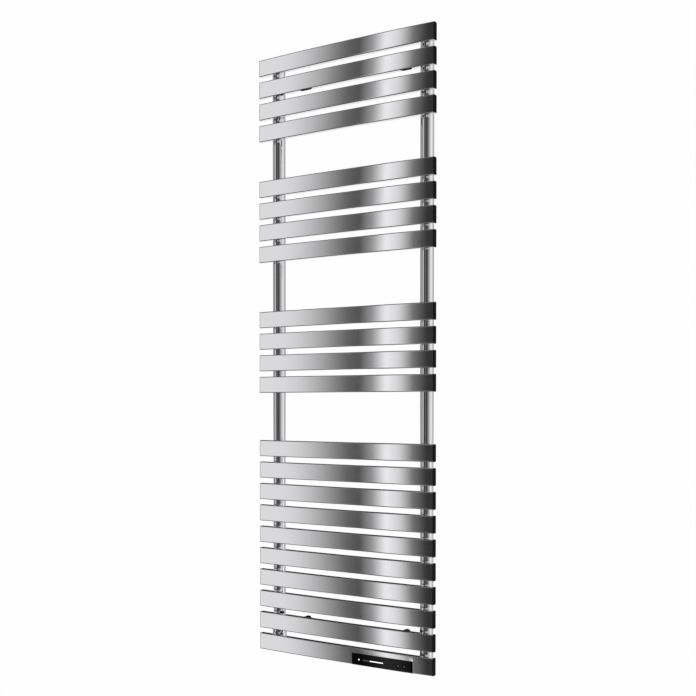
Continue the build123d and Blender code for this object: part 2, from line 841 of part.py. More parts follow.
def make_terminal_box():
    """Plastic box under the collar, open on top for the boss, with a lug to the fascia and a duct hole."""
    corner = terminal_box_corner
    inner = terminal_box_size - 2 * terminal_box_wall
    lug_front = face_y(upright_x + lug_radius, slat_depth) + weld_gap
    duct_y = face_y(duct_left, duct_near + duct_size[0] / 2)
    duct_z = duct_bottom + duct_size[1] / 2
    box_bottom = terminal_box_bottom
    with BuildPart() as box:
        with BuildSketch(Plane.XY.offset(box_bottom)):
            with Locations((-upright_x, upright_y)):
                RectangleRounded(terminal_box_size, terminal_box_size, corner)
        extrude(amount=terminal_box_height)
        with BuildSketch(Plane.XY.offset(box_bottom + terminal_box_wall)):
            with Locations((-upright_x, upright_y)):
                RectangleRounded(inner, inner, corner - terminal_box_wall)
        extrude(amount=terminal_box_height - 2 * terminal_box_wall, mode=Mode.SUBTRACT)
        with BuildSketch(Plane.XY.offset(terminal_box_top)):
            with Locations((-upright_x, upright_y)):
                Circle(element_boss_radius + element_gap)
        extrude(amount=-2 * terminal_box_wall, mode=Mode.SUBTRACT)
        with BuildSketch(Plane.XZ.offset(-lug_front)):
            with Locations((-upright_x, box_bottom + terminal_box_height / 2)):
                Circle(lug_radius)
        extrude(amount=lug_front - upright_y + terminal_box_size / 2 - terminal_box_wall / 2)
        with BuildSketch(Plane.YZ.offset(-upright_x + terminal_box_size / 2)):
            with Locations((duct_y, duct_z)):
                Rectangle(duct_size[0] - 2 * duct_wall, duct_size[1] - 2 * duct_wall)
        extrude(amount=-2 * terminal_box_wall, mode=Mode.SUBTRACT)
    return box.part


def make_duct():
    """Wiring channel behind the fascia, from the terminal box to the power housing."""
    with BuildPart() as duct:
        extrude(bowed_plan(duct_bottom, duct_left, duct_right, duct_near, duct_far), amount=duct_size[1])
        inner_near = duct_near + duct_wall
        inner_far = duct_far - duct_wall
        bore = bowed_plan(duct_bottom + duct_wall, duct_left, duct_right, inner_near, inner_far)
        extrude(bore, amount=duct_size[1] - 2 * duct_wall, mode=Mode.SUBTRACT)
    return duct.part


def make_leads():
    """Insulated leads of the element, side by side through the duct."""
    left = duct_left - lead_entry
    right = duct_right + lead_entry
    middle_z = duct_bottom + duct_size[1] / 2
    centre = duct_near + duct_size[0] / 2
    with BuildPart() as leads:
        for offset in (-1.1, 1.1):
            height = middle_z + offset * lead_radius - lead_radius / 2
            plan = bowed_plan(height, left, right, centre - lead_radius / 2, centre + lead_radius / 2)
            extrude(plan, amount=lead_radius)
    return leads.part


# ---- Build and write every piece ----------------------------------------------------------------------
os.makedirs("parts", exist_ok=True)

for number, bottom in enumerate(slat_bottoms[:-1], start=1):
    save(make_slat(bottom, [-upright_x, upright_x]), f"slat_{number:02d}")
save(make_fascia(), "control_fascia")
save(make_end_caps(-1), "end_caps_left")
save(make_end_caps(1), "end_caps_right")

save(make_upright(-upright_x, left_foot, slat_middles[:-1]), "left_upright")
save(make_upright(upright_x, right_foot, slat_middles), "right_upright")
save(make_spigots(-upright_x, slat_middles[:-1]), "left_spigots")
save(make_spigots(upright_x, slat_middles), "right_spigots")
save(make_upright_caps(), "upright_caps")
save(make_filler_plug(), "filler_plug")

save(make_wall_bosses(), "wall_bosses")
save(make_post_sleeves(), "post_sleeves")
save(make_rack_studs(), "rack_studs")
save(make_grub_screws(), "grub_screws")

save(make_glass_panel(), "glass_panel")
save(make_key(key_places[0]), "mode_key")
save(make_key(key_places[1]), "power_key")
save(make_status_lens(), "status_lens")
save(make_bar(bar_from_left, bar_dim_length), "light_bar_dim")
save(make_bar(bar_from_left + bar_dim_length + light_guide_gap, bar_lit_length), "light_bar_lit")
save(make_panel_chassis(), "panel_chassis")
save(make_control_board(), "control_board")
save(make_key_switches(), "key_switches")
save(make_board_leds(), "board_leds")

save(make_rear_housing(), "rear_housing")
save(make_rear_cover(), "rear_cover")
save(make_cover_screws(), "cover_screws")
save(make_power_board(), "power_board")
save(make_on_board(board_part_gap, relay_size), "power_relay")
save(make_on_board(2 * board_part_gap + relay_size[0], terminal_block_size), "terminal_block")
save(make_switch_frame(), "switch_frame")
save(make_rocker(), "rocker_switch")
save(make_cable_gland(), "cable_gland")

save(make_element(), "heating_element")
save(make_ring(collar_top, left_foot, upright_radius, upright_radius - seal_width), "element_seal")
save(make_collar(), "element_collar")
save(make_terminal_box(), "terminal_box")
save(make_duct(), "wire_duct")
save(make_leads(), "element_leads")
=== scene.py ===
"""Looks of an electric towel warmer: bowed chrome slats on two round uprights, with a glass control panel.

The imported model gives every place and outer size. Each class below is one sub-assembly and builds its pieces
in metres, in the model's frame: +X right as seen from the front, +Y into the wall, +Z up.
"""

import json
import logging
import math
from dataclasses import dataclass
from enum import Enum
from typing import Callable, Iterable, Sequence

import bmesh
import bpy
from mathutils import Matrix, Vector


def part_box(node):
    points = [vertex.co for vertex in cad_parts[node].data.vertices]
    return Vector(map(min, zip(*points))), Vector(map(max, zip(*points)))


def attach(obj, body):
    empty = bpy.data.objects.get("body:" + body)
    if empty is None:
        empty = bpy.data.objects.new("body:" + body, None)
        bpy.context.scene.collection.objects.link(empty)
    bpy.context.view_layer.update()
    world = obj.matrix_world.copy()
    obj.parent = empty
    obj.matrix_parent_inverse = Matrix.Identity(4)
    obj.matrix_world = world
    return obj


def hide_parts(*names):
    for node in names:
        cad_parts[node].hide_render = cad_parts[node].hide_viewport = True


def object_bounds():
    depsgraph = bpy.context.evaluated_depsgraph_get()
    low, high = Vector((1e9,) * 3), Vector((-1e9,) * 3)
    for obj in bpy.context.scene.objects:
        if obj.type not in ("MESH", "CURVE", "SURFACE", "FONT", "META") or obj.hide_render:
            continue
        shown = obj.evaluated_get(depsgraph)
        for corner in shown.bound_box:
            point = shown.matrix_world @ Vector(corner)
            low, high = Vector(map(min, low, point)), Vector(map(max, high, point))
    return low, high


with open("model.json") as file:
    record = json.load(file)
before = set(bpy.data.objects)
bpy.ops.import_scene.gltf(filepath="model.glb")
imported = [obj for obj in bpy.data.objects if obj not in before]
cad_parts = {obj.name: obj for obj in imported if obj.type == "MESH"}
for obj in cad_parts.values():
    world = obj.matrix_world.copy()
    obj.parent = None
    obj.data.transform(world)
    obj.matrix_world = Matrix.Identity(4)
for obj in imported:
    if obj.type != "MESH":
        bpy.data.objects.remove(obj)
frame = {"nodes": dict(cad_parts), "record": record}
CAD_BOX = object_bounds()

LOG = logging.getLogger("towel_warmer")
MM = 0.001
RACK = "rack"
TOUCH = 1e-6  # closer than this counts as the same place, in metres

# Sockets of a mix node that works on colours; it has others of the same names for other kinds of data.
FIRST_COLOUR = 6
SECOND_COLOUR = 7
MIXED_COLOUR = 2


class Side(Enum):
    """The two ends of the rack, as seen from the front."""

    LEFT = -1
    RIGHT = 1


class Along(Enum):
    """Direction of a turned piece's axis."""

    X = "X"
    Y = "Y"
    Z = "Z"


# ---- Small helpers ------------------------------------------------------------------------------------
def srgb(hex_code: str) -> tuple[float, float, float, float]:
    """Turn an sRGB hex colour into linear values.

    Args:
        hex_code: Colour as "#rrggbb".

    Returns:
        Linear red, green, blue and an alpha of 1.
    """
    return (*(grey(int(hex_code[i : i + 2], 16)) for i in (1, 3, 5)), 1.0)


def grey(level: float) -> float:
    """Turn an sRGB grey level from 0 to 255 into a linear value."""
    v = level / 255
    return v / 12.92 if v <= 0.04045 else ((v + 0.055) / 1.055) ** 2.4


def grey_colour(level: float) -> tuple[float, float, float, float]:
    """Turn an sRGB grey level from 0 to 255 into a linear colour."""
    return (grey(level),) * 3 + (1.0,)


def add_node(tree: bpy.types.NodeTree, kind: str, links: dict | None = None, **settings) -> bpy.types.Node:
    """Add one shader node.

    Args:
        tree: Node tree that gets the node.
        kind: Blender's type name of the node.
        links: Input name or index to the output socket that feeds it, or to a constant.
        settings: Attributes of the node itself, such as operation="MULTIPLY".

    Returns:
        The new node.
    """
    node = tree.nodes.new(kind)
    for key, value in settings.items():
        setattr(node, key, value)
    for key, value in (links or {}).items():
        if isinstance(value, bpy.types.NodeSocket):
            tree.links.new(value, node.inputs[key])
        else:
            node.inputs[key].default_value = value
    return node


def mix_colours(
    tree: bpy.types.NodeTree,
    factor: bpy.types.NodeSocket | float,
    first: bpy.types.NodeSocket | tuple[float, ...],
    second: bpy.types.NodeSocket | tuple[float, ...],
    blend: str = "MIX",
) -> bpy.types.NodeSocket:
    """Mix two colours, each a socket or a constant.

    Args:
        tree: Node tree that gets the node.
        factor: Share of the second colour.
        first: Colour at a factor of 0.
        second: Colour at a factor of 1.
        blend: Blender's name of the way of mixing.

    Returns:
        The mixed colour's socket.
    """
    inputs = {"Factor": factor, FIRST_COLOUR: first, SECOND_COLOUR: second}
    node = add_node(tree, "ShaderNodeMix", inputs, data_type="RGBA", blend_type=blend)
    return node.outputs[MIXED_COLOUR]


def set_ramp(node: bpy.types.Node, stops: Sequence[tuple[float, float]]) -> None:
    """Give a colour ramp its grey stops.

    Args:
        node: A ShaderNodeValToRGB.
        stops: Position from 0 to 1 and linear grey value of each stop, in order.
    """
    elements = node.color_ramp.elements
    while len(elements) > 1:
        elements.remove(elements[-1])
    for number, (position, value) in enumerate(stops):
        stop = elements[0] if number == 0 else elements.new(position)
        stop.position = position
        stop.color = (value, value, value, 1.0)


# ---- Finishes -----------------------------------------------------------------------------------------
@dataclass(frozen=True)
class Finish:
    """A surface finish: one material and the record slot that it stands for."""

    name: str
    slot: str
    colour: str

    def shader(self) -> tuple[bpy.types.Material, bpy.types.NodeTree, bpy.types.Node]:
        """Make an empty material with a principled shader.

        Returns:
            The material, its node tree and its principled node.
        """
        material = bpy.data.materials.new(self.name)
        material.use_nodes = True
        tree = material.node_tree
        principled = tree.nodes["Principled BSDF"]
        principled.inputs["Base Color"].default_value = srgb(self.colour)
        return material, tree, principled

    def material(self) -> bpy.types.Material:
        """Return the finish's material, built at its first use."""
        found = bpy.data.materials.get(self.name)
        return found or self.build()

    def build(self) -> bpy.types.Material:
        """Build the material. Each kind of finish has its own."""
        raise NotImplementedError

    @staticmethod
    def surface_noise(tree: bpy.types.NodeTree, grain_mm: float, detail: float = 2.0) -> bpy.types.NodeSocket:
        """Add a noise on object coordinates whose features are about `grain_mm` across.

        Args:
            tree: Node tree that gets the nodes.
            grain_mm: Size of one feature, in millimetres.
            detail: Octaves of the noise.

        Returns:
            The noise's value socket.
        """
        place = add_node(tree, "ShaderNodeTexCoord")
        noise = add_node(
            tree,
            "ShaderNodeTexNoise",
            {"Vector": place.outputs["Object"], "Scale": 1 / (grain_mm * MM), "Detail": detail},
        )
        return noise.outputs["Fac"]

    @staticmethod
    def vary(
        tree: bpy.types.NodeTree,
        socket: bpy.types.NodeSocket,
        value: bpy.types.NodeSocket,
        least: float,
        most: float,
        span: tuple[float, float] = (0.0, 1.0),
    ) -> None:
        """Let a noise vary one input of the principled shader.

        Args:
            tree: Node tree of the material.
            socket: Input that varies.
            value: Socket that gives the noise.
            least: The input's value at the start of the span.
            most: Its value at the end of the span.
            span: Noise values that are mapped.
        """
        limits = {"From Min": span[0], "From Max": span[1], "To Min": least, "To Max": most}
        spread = add_node(tree, "ShaderNodeMapRange", {"Value": value, **limits})
        tree.links.new(spread.outputs["Result"], socket)

    @staticmethod
    def relief(
        tree: bpy.types.NodeTree,
        height: bpy.types.NodeSocket,
        depth_mm: float,
        below: bpy.types.NodeSocket | None = None,
    ) -> bpy.types.NodeSocket:
        """Turn a height into a normal.

        Args:
            tree: Node tree of the material.
            height: Socket that gives the height, from 0 to 1.
            depth_mm: Height of the relief, in millimetres.
            below: Normal of a coarser relief that this one lies on.

        Returns:
            The normal's socket.
        """
        inputs = {"Height": height, "Strength": 1.0, "Distance": depth_mm * MM}
        if below is not None:
            inputs["Normal"] = below
        return add_node(tree, "ShaderNodeBump", inputs).outputs["Normal"]

    @classmethod
    def bump(
        cls,
        tree: bpy.types.NodeTree,
        principled: bpy.types.Node,
        height: bpy.types.NodeSocket,
        depth_mm: float,
    ) -> None:
        """Feed a height into the principled shader's normal.

        Args:
            tree: Node tree of the material.
            principled: Its principled shader.
            height: Socket that gives the height, from 0 to 1.
            depth_mm: Height of the relief, in millimetres.
        """
        tree.links.new(cls.relief(tree, height, depth_mm), principled.inputs["Normal"])


@dataclass(frozen=True)
class ChromePlate(Finish):
    """Polished nickel-chrome plate on steel: a near mirror, with the faint ripple that rolling leaves."""

    roughness: float = 0.03
    haze: float = 0.02
    haze_mm: float = 35.0
    haze_span: tuple[float, float] = (0.3, 0.7)
    ripple_mm: float = 9.0
    ripple_stretch: float = 0.05
    ripple_depth_mm: float = 0.0018
    peel_mm: float = 1.6
    peel_depth_mm: float = 0.0002

    def build(self) -> bpy.types.Material:
        """Build the mirror with its haze, long ripple and fine polishing peel."""
        material, tree, principled = self.shader()
        principled.inputs["Metallic"].default_value = 1.0
        haze = self.surface_noise(tree, self.haze_mm)
        rough = principled.inputs["Roughness"]
        self.vary(tree, rough, haze, self.roughness, self.roughness + self.haze, self.haze_span)
        place = add_node(tree, "ShaderNodeTexCoord")
        stretched = {"Vector": place.outputs["Object"], "Scale": (1.0, 1.0, self.ripple_stretch)}
        squeeze = add_node(tree, "ShaderNodeMapping", stretched)
        scale = {"Scale": 1 / (self.ripple_mm * MM), "Detail": 1.0}
        ripple = add_node(tree, "ShaderNodeTexNoise", {"Vector": squeeze.outputs["Vector"], **scale})
        peel = self.surface_noise(tree, self.peel_mm, 1.0)
        coarse = self.relief(tree, ripple.outputs["Fac"], self.ripple_depth_mm)
        fine = self.relief(tree, peel, self.peel_depth_mm, coarse)
        tree.links.new(fine, principled.inputs["Normal"])
        return material


@dataclass(frozen=True)
class MouldedPlastic(Finish):
    """Injection-moulded plastic, such as ABS or nylon: even colour with a fine spark-eroded grain."""

    roughness: float = 0.45
    grain_mm: float = 0.5
    grain_depth_mm: float = 0.01
    tint: str = "#1a1a1b"
    specular: float = 0.5
    blotch_mm: float = 14.0

    def build(self) -> bpy.types.Material:
        """Build the plastic with its grain and slight blotches of sheen."""
        material, tree, principled = self.shader()
        principled.inputs["IOR"].default_value = 1.5
        principled.inputs["Specular IOR Level"].default_value = self.specular
        blotch = self.surface_noise(tree, self.blotch_mm)
        mixed = mix_colours(tree, blotch, srgb(self.colour), srgb(self.tint))
        tree.links.new(mixed, principled.inputs["Base Color"])
        self.vary(tree, principled.inputs["Roughness"], blotch, self.roughness - 0.05, self.roughness + 0.08)
        grain = self.surface_noise(tree, self.grain_mm)
        self.bump(tree, principled, grain, self.grain_depth_mm)
        return material


@dataclass(frozen=True)
class PolishedGlass(Finish):
    """Float glass printed black on its back: a deep black with a sharp reflection."""

    roughness: float = 0.03
    gloss: float = 0.22
    smear_mm: float = 22.0
    smear_span: tuple[float, float] = (0.35, 0.75)
    smear_depth_mm: float = 0.0004

    def build(self) -> bpy.types.Material:
        """Build the glass with faint wiping smears in its gloss."""
        material, tree, principled = self.shader()
        principled.inputs["IOR"].default_value = 1.52
        principled.inputs["Specular IOR Level"].default_value = self.gloss
        smear = self.surface_noise(tree, self.smear_mm, 3.0)
        rough = principled.inputs["Roughness"]
        self.vary(tree, rough, smear, self.roughness, self.roughness + 0.05, self.smear_span)
        self.bump(tree, principled, smear, self.smear_depth_mm)
        return material


@dataclass(frozen=True)
class LightDiffuser(Finish):
    """Opal acrylic over a light-emitting diode: an even glow with a soft mottle. The unlit length of the light
    bar and the grey key print use it too, for a painted glow.
    """

    glow: float = 1.0
    mottle_mm: float = 1.2

    def build(self) -> bpy.types.Material:
        """Build the opal surface and its glow."""
        material, tree, principled = self.shader()
        principled.inputs["Roughness"].default_value = 0.3
        principled.inputs["Emission Color"].default_value = srgb(self.colour)
        mottle = self.surface_noise(tree, self.mottle_mm)
        self.vary(tree, principled.inputs["Emission Strength"], mottle, 0.9 * self.glow, 1.1 * self.glow)
        return material


@dataclass(frozen=True)
class PlatedSteel(Finish):
    """Bright zinc plate or drawn stainless steel: metallic, with fine turned or drawn lines."""

    roughness: float = 0.28
    line_mm: float = 0.25
    line_depth_mm: float = 0.004

    def build(self) -> bpy.types.Material:
        """Build the metal with its fine lines."""
        material, tree, principled = self.shader()
        principled.inputs["Metallic"].default_value = 1.0
        lines = self.surface_noise(tree, self.line_mm, 1.0)
        self.vary(tree, principled.inputs["Roughness"], lines, self.roughness - 0.06, self.roughness + 0.06)
        self.bump(tree, principled, lines, self.line_depth_mm)
        return material


# Mirror-bright plate, with a faint haze and ripple that soften and bend what it mirrors.
CHROME = ChromePlate("polished_chrome_plate", "chrome", "#e8e8ea")
# Near-black nylon that hardly shines.
CAP_PLASTIC = MouldedPlastic("black_cap_nylon", "cap_plastic", "#020202", 0.4, 0.6, 0.004, "#040404", 0.04)
# Black coat with a fine grain.
POST_COAT = MouldedPlastic("black_powder_coat", "post_paint", "#050505", 0.5, 0.9, 0.012, "#090909", 0.15)
# Charcoal moulding, satin and slightly uneven.
HOUSING = MouldedPlastic("black_housing_abs", "housing_plastic", "#121213", 0.45, 0.6, 0.01, "#171718")
# Deep black gloss with faint smears.
GLASS = PolishedGlass("black_printed_glass", "black_glass", "#000000")
# Black gloss of the keys.
KEY_PLASTIC = PolishedGlass("black_key_acrylic", "key_plastic", "#010101", 0.06)
# White opal face with the light on behind it.
LIT = LightDiffuser("lit_opal_acrylic", "light_guide", "#ffffff", 0.8)
# Grey opal face of the unlit length, with a painted glow much fainter than the lit one.
UNLIT_PAINTED_GLOW = LightDiffuser("unlit_opal_painted_glow", "light_guide_dim", "#4a4a4a", 0.6)
# Grey print, with a painted glow so that it reads against the black.
PAINTED_GLOW_PRINT = LightDiffuser("grey_key_print_painted_glow", "key_plastic", "#6a6a6a", 0.6)
# Pale plated steel with fine lines.
ZINC = PlatedSteel("bright_zinc_plate", "zinc_steel", "#c9c9c4")
# Warmer, duller steel of the heating element.
SHEATH = PlatedSteel("drawn_stainless_sheath", "element_steel", "#b8b2a8", 0.35)
# Green circuit board.
BOARD = MouldedPlastic("green_solder_mask", "circuit_board", "#1b5a33", 0.35, 1.2, 0.01, "#17502d")
# Dark slate resin.
COMPONENT = MouldedPlastic("component_resin", "component_plastic", "#23252c", 0.5, 0.5, 0.01, "#2b2d35")
# Dull black rubber.
RUBBER = MouldedPlastic("black_seal_rubber", "seal_rubber", "#141414", 0.7, 0.4, 0.01, "#1a1a1a")
# Brick-red silicone.
SILICONE = MouldedPlastic("lead_silicone", "lead_insulation", "#7a2f1c", 0.5, 0.8, 0.01, "#84371f")
FINISHES = (
    CHROME, CAP_PLASTIC, POST_COAT, HOUSING, GLASS, KEY_PLASTIC, LIT, UNLIT_PAINTED_GLOW, ZINC, SHEATH, BOARD, COMPONENT,
    RUBBER, SILICONE,
)


# ---- Making and placing pieces ------------------------------------------------------------------------
SHARP_ANGLE = math.radians(32)


def finish_piece(
    bm: bmesh.types.BMesh,
    name: str,
    finish: Finish,
    stands_for: Iterable[str] = (),
    body: str = RACK,
    weighted: bool = False,
) -> bpy.types.Object:
    """Turn a finished mesh into a placed, dressed piece of the object.

    Args:
        bm: The mesh, with its place in its vertices. It is freed.
        name: Name of the piece.
        finish: What it is made of.
        stands_for: CAD nodes that it replaces.
        body: CAD body that it rides on.
        weighted: True where large flat faces meet small rounds, so that the flats shade flat.

    Returns:
        The new object.
    """
    mesh = bpy.data.meshes.new(name)
    bmesh.ops.recalc_face_normals(bm, faces=bm.faces)
    bm.to_mesh(mesh)
    bm.free()
    mesh.shade_smooth()
    mesh.set_sharp_from_angle(angle=SHARP_ANGLE)
    mesh.materials.append(finish.material())
    piece = bpy.data.objects.new(name, mesh)
    bpy.context.scene.collection.objects.link(piece)
    if weighted:
        normals = piece.modifiers.new("flat_faces", "WEIGHTED_NORMAL")
        normals.keep_sharp = True
        normals.weight = 100
    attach(piece, body)
    nodes = list(stands_for)
    if nodes:
        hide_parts(*nodes)
    LOG.info("%s: %d faces, %s", name, len(mesh.polygons), finish.name)
    return piece


def turned(
    bm: bmesh.types.BMesh,
    profile: Sequence[tuple[float, float]],
    centre: Sequence[float],
    along: Along,
    steps: int = 48,
) -> None:
    """Spin a profile round an axis and add the shape to a mesh.

    Args:
        bm: Mesh that gets the shape.
        profile: Radius and distance along the axis of each point; a radius of 0 closes the end.
        centre: A point on the axis, from which distances count.
        along: Direction of the axis.
        steps: Segments round the axis.
    """
    before = set(bm.verts)
    points = [bm.verts.new((radius, 0.0, distance)) for radius, distance in profile]
    edges = [bm.edges.new(pair) for pair in zip(points, points[1:])]
    bmesh.ops.spin(
        bm, geom=points + edges, cent=(0, 0, 0), axis=(0, 0, 1), angle=math.tau, steps=steps, use_merge=True
    )
    made = [v for v in bm.verts if v not in before]
    bmesh.ops.remove_doubles(bm, verts=made, dist=TOUCH)
    made = [v for v in bm.verts if v not in before]
    turns = {
        Along.X: Matrix.Rotation(math.pi / 2, 4, "Y"),
        Along.Y: Matrix.Rotation(-math.pi / 2, 4, "X"),
        Along.Z: Matrix.Identity(4),
    }
    place = Matrix.Translation(Vector(centre)) @ turns[along]
    bmesh.ops.transform(bm, matrix=place, verts=made)


def block(bm: bmesh.types.BMesh, low: Sequence[float], high: Sequence[float]) -> list[bmesh.types.BMVert]:
    """Add a box between two corners.

    Args:
        bm: Mesh that gets the box.
        low: Lowest corner.
        high: Highest corner.

    Returns:
        The box's vertices.
    """
    made = bmesh.ops.create_cube(bm, size=1.0)["verts"]
    size = [b - a for a, b in zip(low, high)]
    middle = [(a + b) / 2 for a, b in zip(low, high)]
    bmesh.ops.transform(bm, matrix=Matrix.Translation(middle) @ Matrix.Diagonal((*size, 1.0)), verts=made)
    return made


def edges_of(verts: Iterable[bmesh.types.BMVert], keep: Callable[[Vector], bool]) -> list[bmesh.types.BMEdge]:
    """Return the edges between these vertices whose direction passes a test.

    Args:
        verts: Vertices to look at.
        keep: Test of an edge's unit direction.

    Returns:
        The edges that pass.
    """
    inside = set(verts)
    edges = {e for v in inside for e in v.link_edges if e.other_vert(v) in inside}
    ordered = sorted(edges, key=lambda e: e.index)
    return [e for e in ordered if keep((e.verts[1].co - e.verts[0].co).normalized())]


def rounded(
    bm: bmesh.types.BMesh, edges: Sequence[bmesh.types.BMEdge], radius: float, segments: int = 4
) -> None:
    """Round some edges.

    Args:
        bm: Mesh that holds the edges.
        edges: Edges to round.
        radius: Radius of the round.
        segments: Faces across it.
    """
    bmesh.ops.bevel(
        bm, geom=list(edges), offset=radius, offset_type="OFFSET", segments=segments, profile=0.5,
        affect="EDGES", material=-1, clamp_overlap=True,
    )


def slice_along_x(bm: bmesh.types.BMesh, left: float, right: float, count: int) -> None:
    """Cut a mesh into equal lengths along X, so that it can be bowed.

    Args:
        bm: Mesh to cut.
        left: Its left end.
        right: Its right end.
        count: Number of lengths.
    """
    for number in range(1, count):
        x = left + (right - left) * number / count
        geom = list(bm.verts) + list(bm.edges) + list(bm.faces)
        bmesh.ops.bisect_plane(bm, geom=geom, dist=1e-7, plane_co=(x, 0, 0), plane_no=(1, 0, 0))


@dataclass
class Bow:
    """The gentle curve in plan that all slats share."""

    half_width: float
    end_front: float
    middle_front: float

    @classmethod
    def from_frame(cls) -> "Bow":
        """Read the bow from the top slat and its end caps."""
        _, cap_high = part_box("end_caps_right")
        slat_low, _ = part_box("slat_01")
        return cls(cap_high.x, cap_high.y - cls.depth(), slat_low.y)

    @staticmethod
    def depth() -> float:
        """Thickness of a slat from front to back, which its caps show."""
        return 14 * MM

    @property
    def radius(self) -> float:
        """Radius of the slats' front face."""
        rise = self.end_front - self.middle_front
        return self.half_width**2 / (2 * rise) + rise / 2

    def front(self, x: float) -> float:
        """Y of the slats' front face at this x."""
        return self.middle_front + self.radius - math.sqrt(self.radius**2 - x**2)

    def bend(self, bm: bmesh.types.BMesh) -> None:
        """Move a mesh that was built with its front at y = 0 onto the bow."""
        for vert in bm.verts:
            vert.co.y += self.front(vert.co.x)


# ---- Slats and end caps -------------------------------------------------------------------------------
@dataclass
class Slats:
    """The flat tubes, the fascia among them, and the plugs in their ends."""

    bow: Bow
    wall: float = 1.2 * MM
    corner: float = 2.5 * MM
    lengths: int = 40
    cap_round: float = 0.35 * MM
    window_gap: float = 0.15 * MM
    window_bevel: float = 0.3 * MM

    def skin(self, node: str) -> bmesh.types.BMesh:
        """Make one slat's open tube, still straight and without thickness, with its front at y = 0.

        Args:
            node: CAD node of the slat.

        Returns:
            The tube's outer skin.
        """
        low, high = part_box(node)
        bm = bmesh.new()
        verts = block(bm, (low.x, 0.0, low.z), (high.x, self.bow.depth(), high.z))
        rounded(bm, edges_of(verts, lambda d: abs(d.x) > 0.99), self.corner, 5)
        ends = [f for f in bm.faces if abs(f.normal.x) > 0.9]
        bmesh.ops.delete(bm, geom=ends, context="FACES_ONLY")
        slice_along_x(bm, low.x, high.x, self.lengths)
        return bm

    def thicken(self, bm: bmesh.types.BMesh) -> None:
        """Give a skin its wall, inwards."""
        bmesh.ops.recalc_face_normals(bm, faces=bm.faces)
        bmesh.ops.solidify(bm, geom=list(bm.faces), thickness=self.wall)

    def make_slats(self, nodes: Sequence[str]) -> None:
        """Make the plain slats.

        Args:
            nodes: CAD nodes of the slats, from the top.
        """
        for node in nodes:
            bm = self.skin(node)
            self.thicken(bm)
            self.bow.bend(bm)
            finish_piece(bm, f"{node}_tube", CHROME, [node], weighted=True)

    def make_fascia(self) -> None:
        """Make the lowest slat, with the window for the glass cut into its front and underside."""
        glass_low, glass_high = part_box("glass_panel")
        left = glass_low.x - self.window_gap
        right = glass_high.x + self.window_gap
        top = glass_high.z + self.window_gap
        depth = 3.0 * MM
        bm = self.skin("control_fascia")
        cuts = (
            ((left, 0, 0), (1, 0, 0)), ((right, 0, 0), (1, 0, 0)), ((0, 0, top), (0, 0, 1)),
            ((0, depth, 0), (0, 1, 0)),
        )
        for place, normal in cuts:
            geom = list(bm.verts) + list(bm.edges) + list(bm.faces)
            bmesh.ops.bisect_plane(bm, geom=geom, dist=1e-7, plane_co=place, plane_no=normal)
        gone = []
        for face in bm.faces:
            middle = face.calc_center_median()
            if left < middle.x < right and middle.z < top and middle.y < depth:
                gone.append(face)
        bmesh.ops.delete(bm, geom=gone, context="FACES")
        self.thicken(bm)
        rim = [e for e in bm.edges if self.on_window(e, left, right, top)]
        rounded(bm, rim, self.window_bevel, 2)
        self.bow.bend(bm)
        finish_piece(bm, "control_fascia_tube", CHROME, ["control_fascia"], weighted=True)

    @staticmethod
    def on_window(edge: bmesh.types.BMEdge, left: float, right: float, top: float) -> bool:
        """Tell whether an edge is part of the window's front outline."""
        if any(abs(v.co.y) > TOUCH for v in edge.verts):
            return False
        at_side = any(all(abs(v.co.x - side) < TOUCH for v in edge.verts) for side in (left, right))
        at_top = all(abs(v.co.z - top) < TOUCH for v in edge.verts)
        below = all(v.co.z < top + TOUCH for v in edge.verts)
        between = all(left - TOUCH < v.co.x < right + TOUCH for v in edge.verts)
        return below and between and (at_side or at_top)

    def make_caps(self, nodes: Sequence[str]) -> None:
        """Make the moulded plugs for both ends of every slat.

        Args:
            nodes: CAD nodes of all slats, from the top.
        """
        for side in Side:
            cad = "end_caps_left" if side is Side.LEFT else "end_caps_right"
            low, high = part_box(cad)
            bm = bmesh.new()
            for node in nodes:
                slat_low, slat_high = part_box(node)
                near, far = (slat_low.x, low.x) if side is Side.LEFT else (slat_high.x, high.x)
                bottom = (min(near, far), 0.0, slat_low.z)
                top = (max(near, far), self.bow.depth(), slat_high.z)
                verts = block(bm, bottom, top)
                rounded(bm, edges_of(verts, lambda d: abs(d.x) > 0.99), self.corner, 5)
            end = low.x if side is Side.LEFT else high.x
            outer = [e for e in bm.edges if all(abs(v.co.x - end) < TOUCH for v in e.verts)]
            rounded(bm, outer, self.cap_round, 3)
            self.bow.bend(bm)
            finish_piece(bm, f"{cad}_moulded", CAP_PLASTIC, [cad], weighted=True)


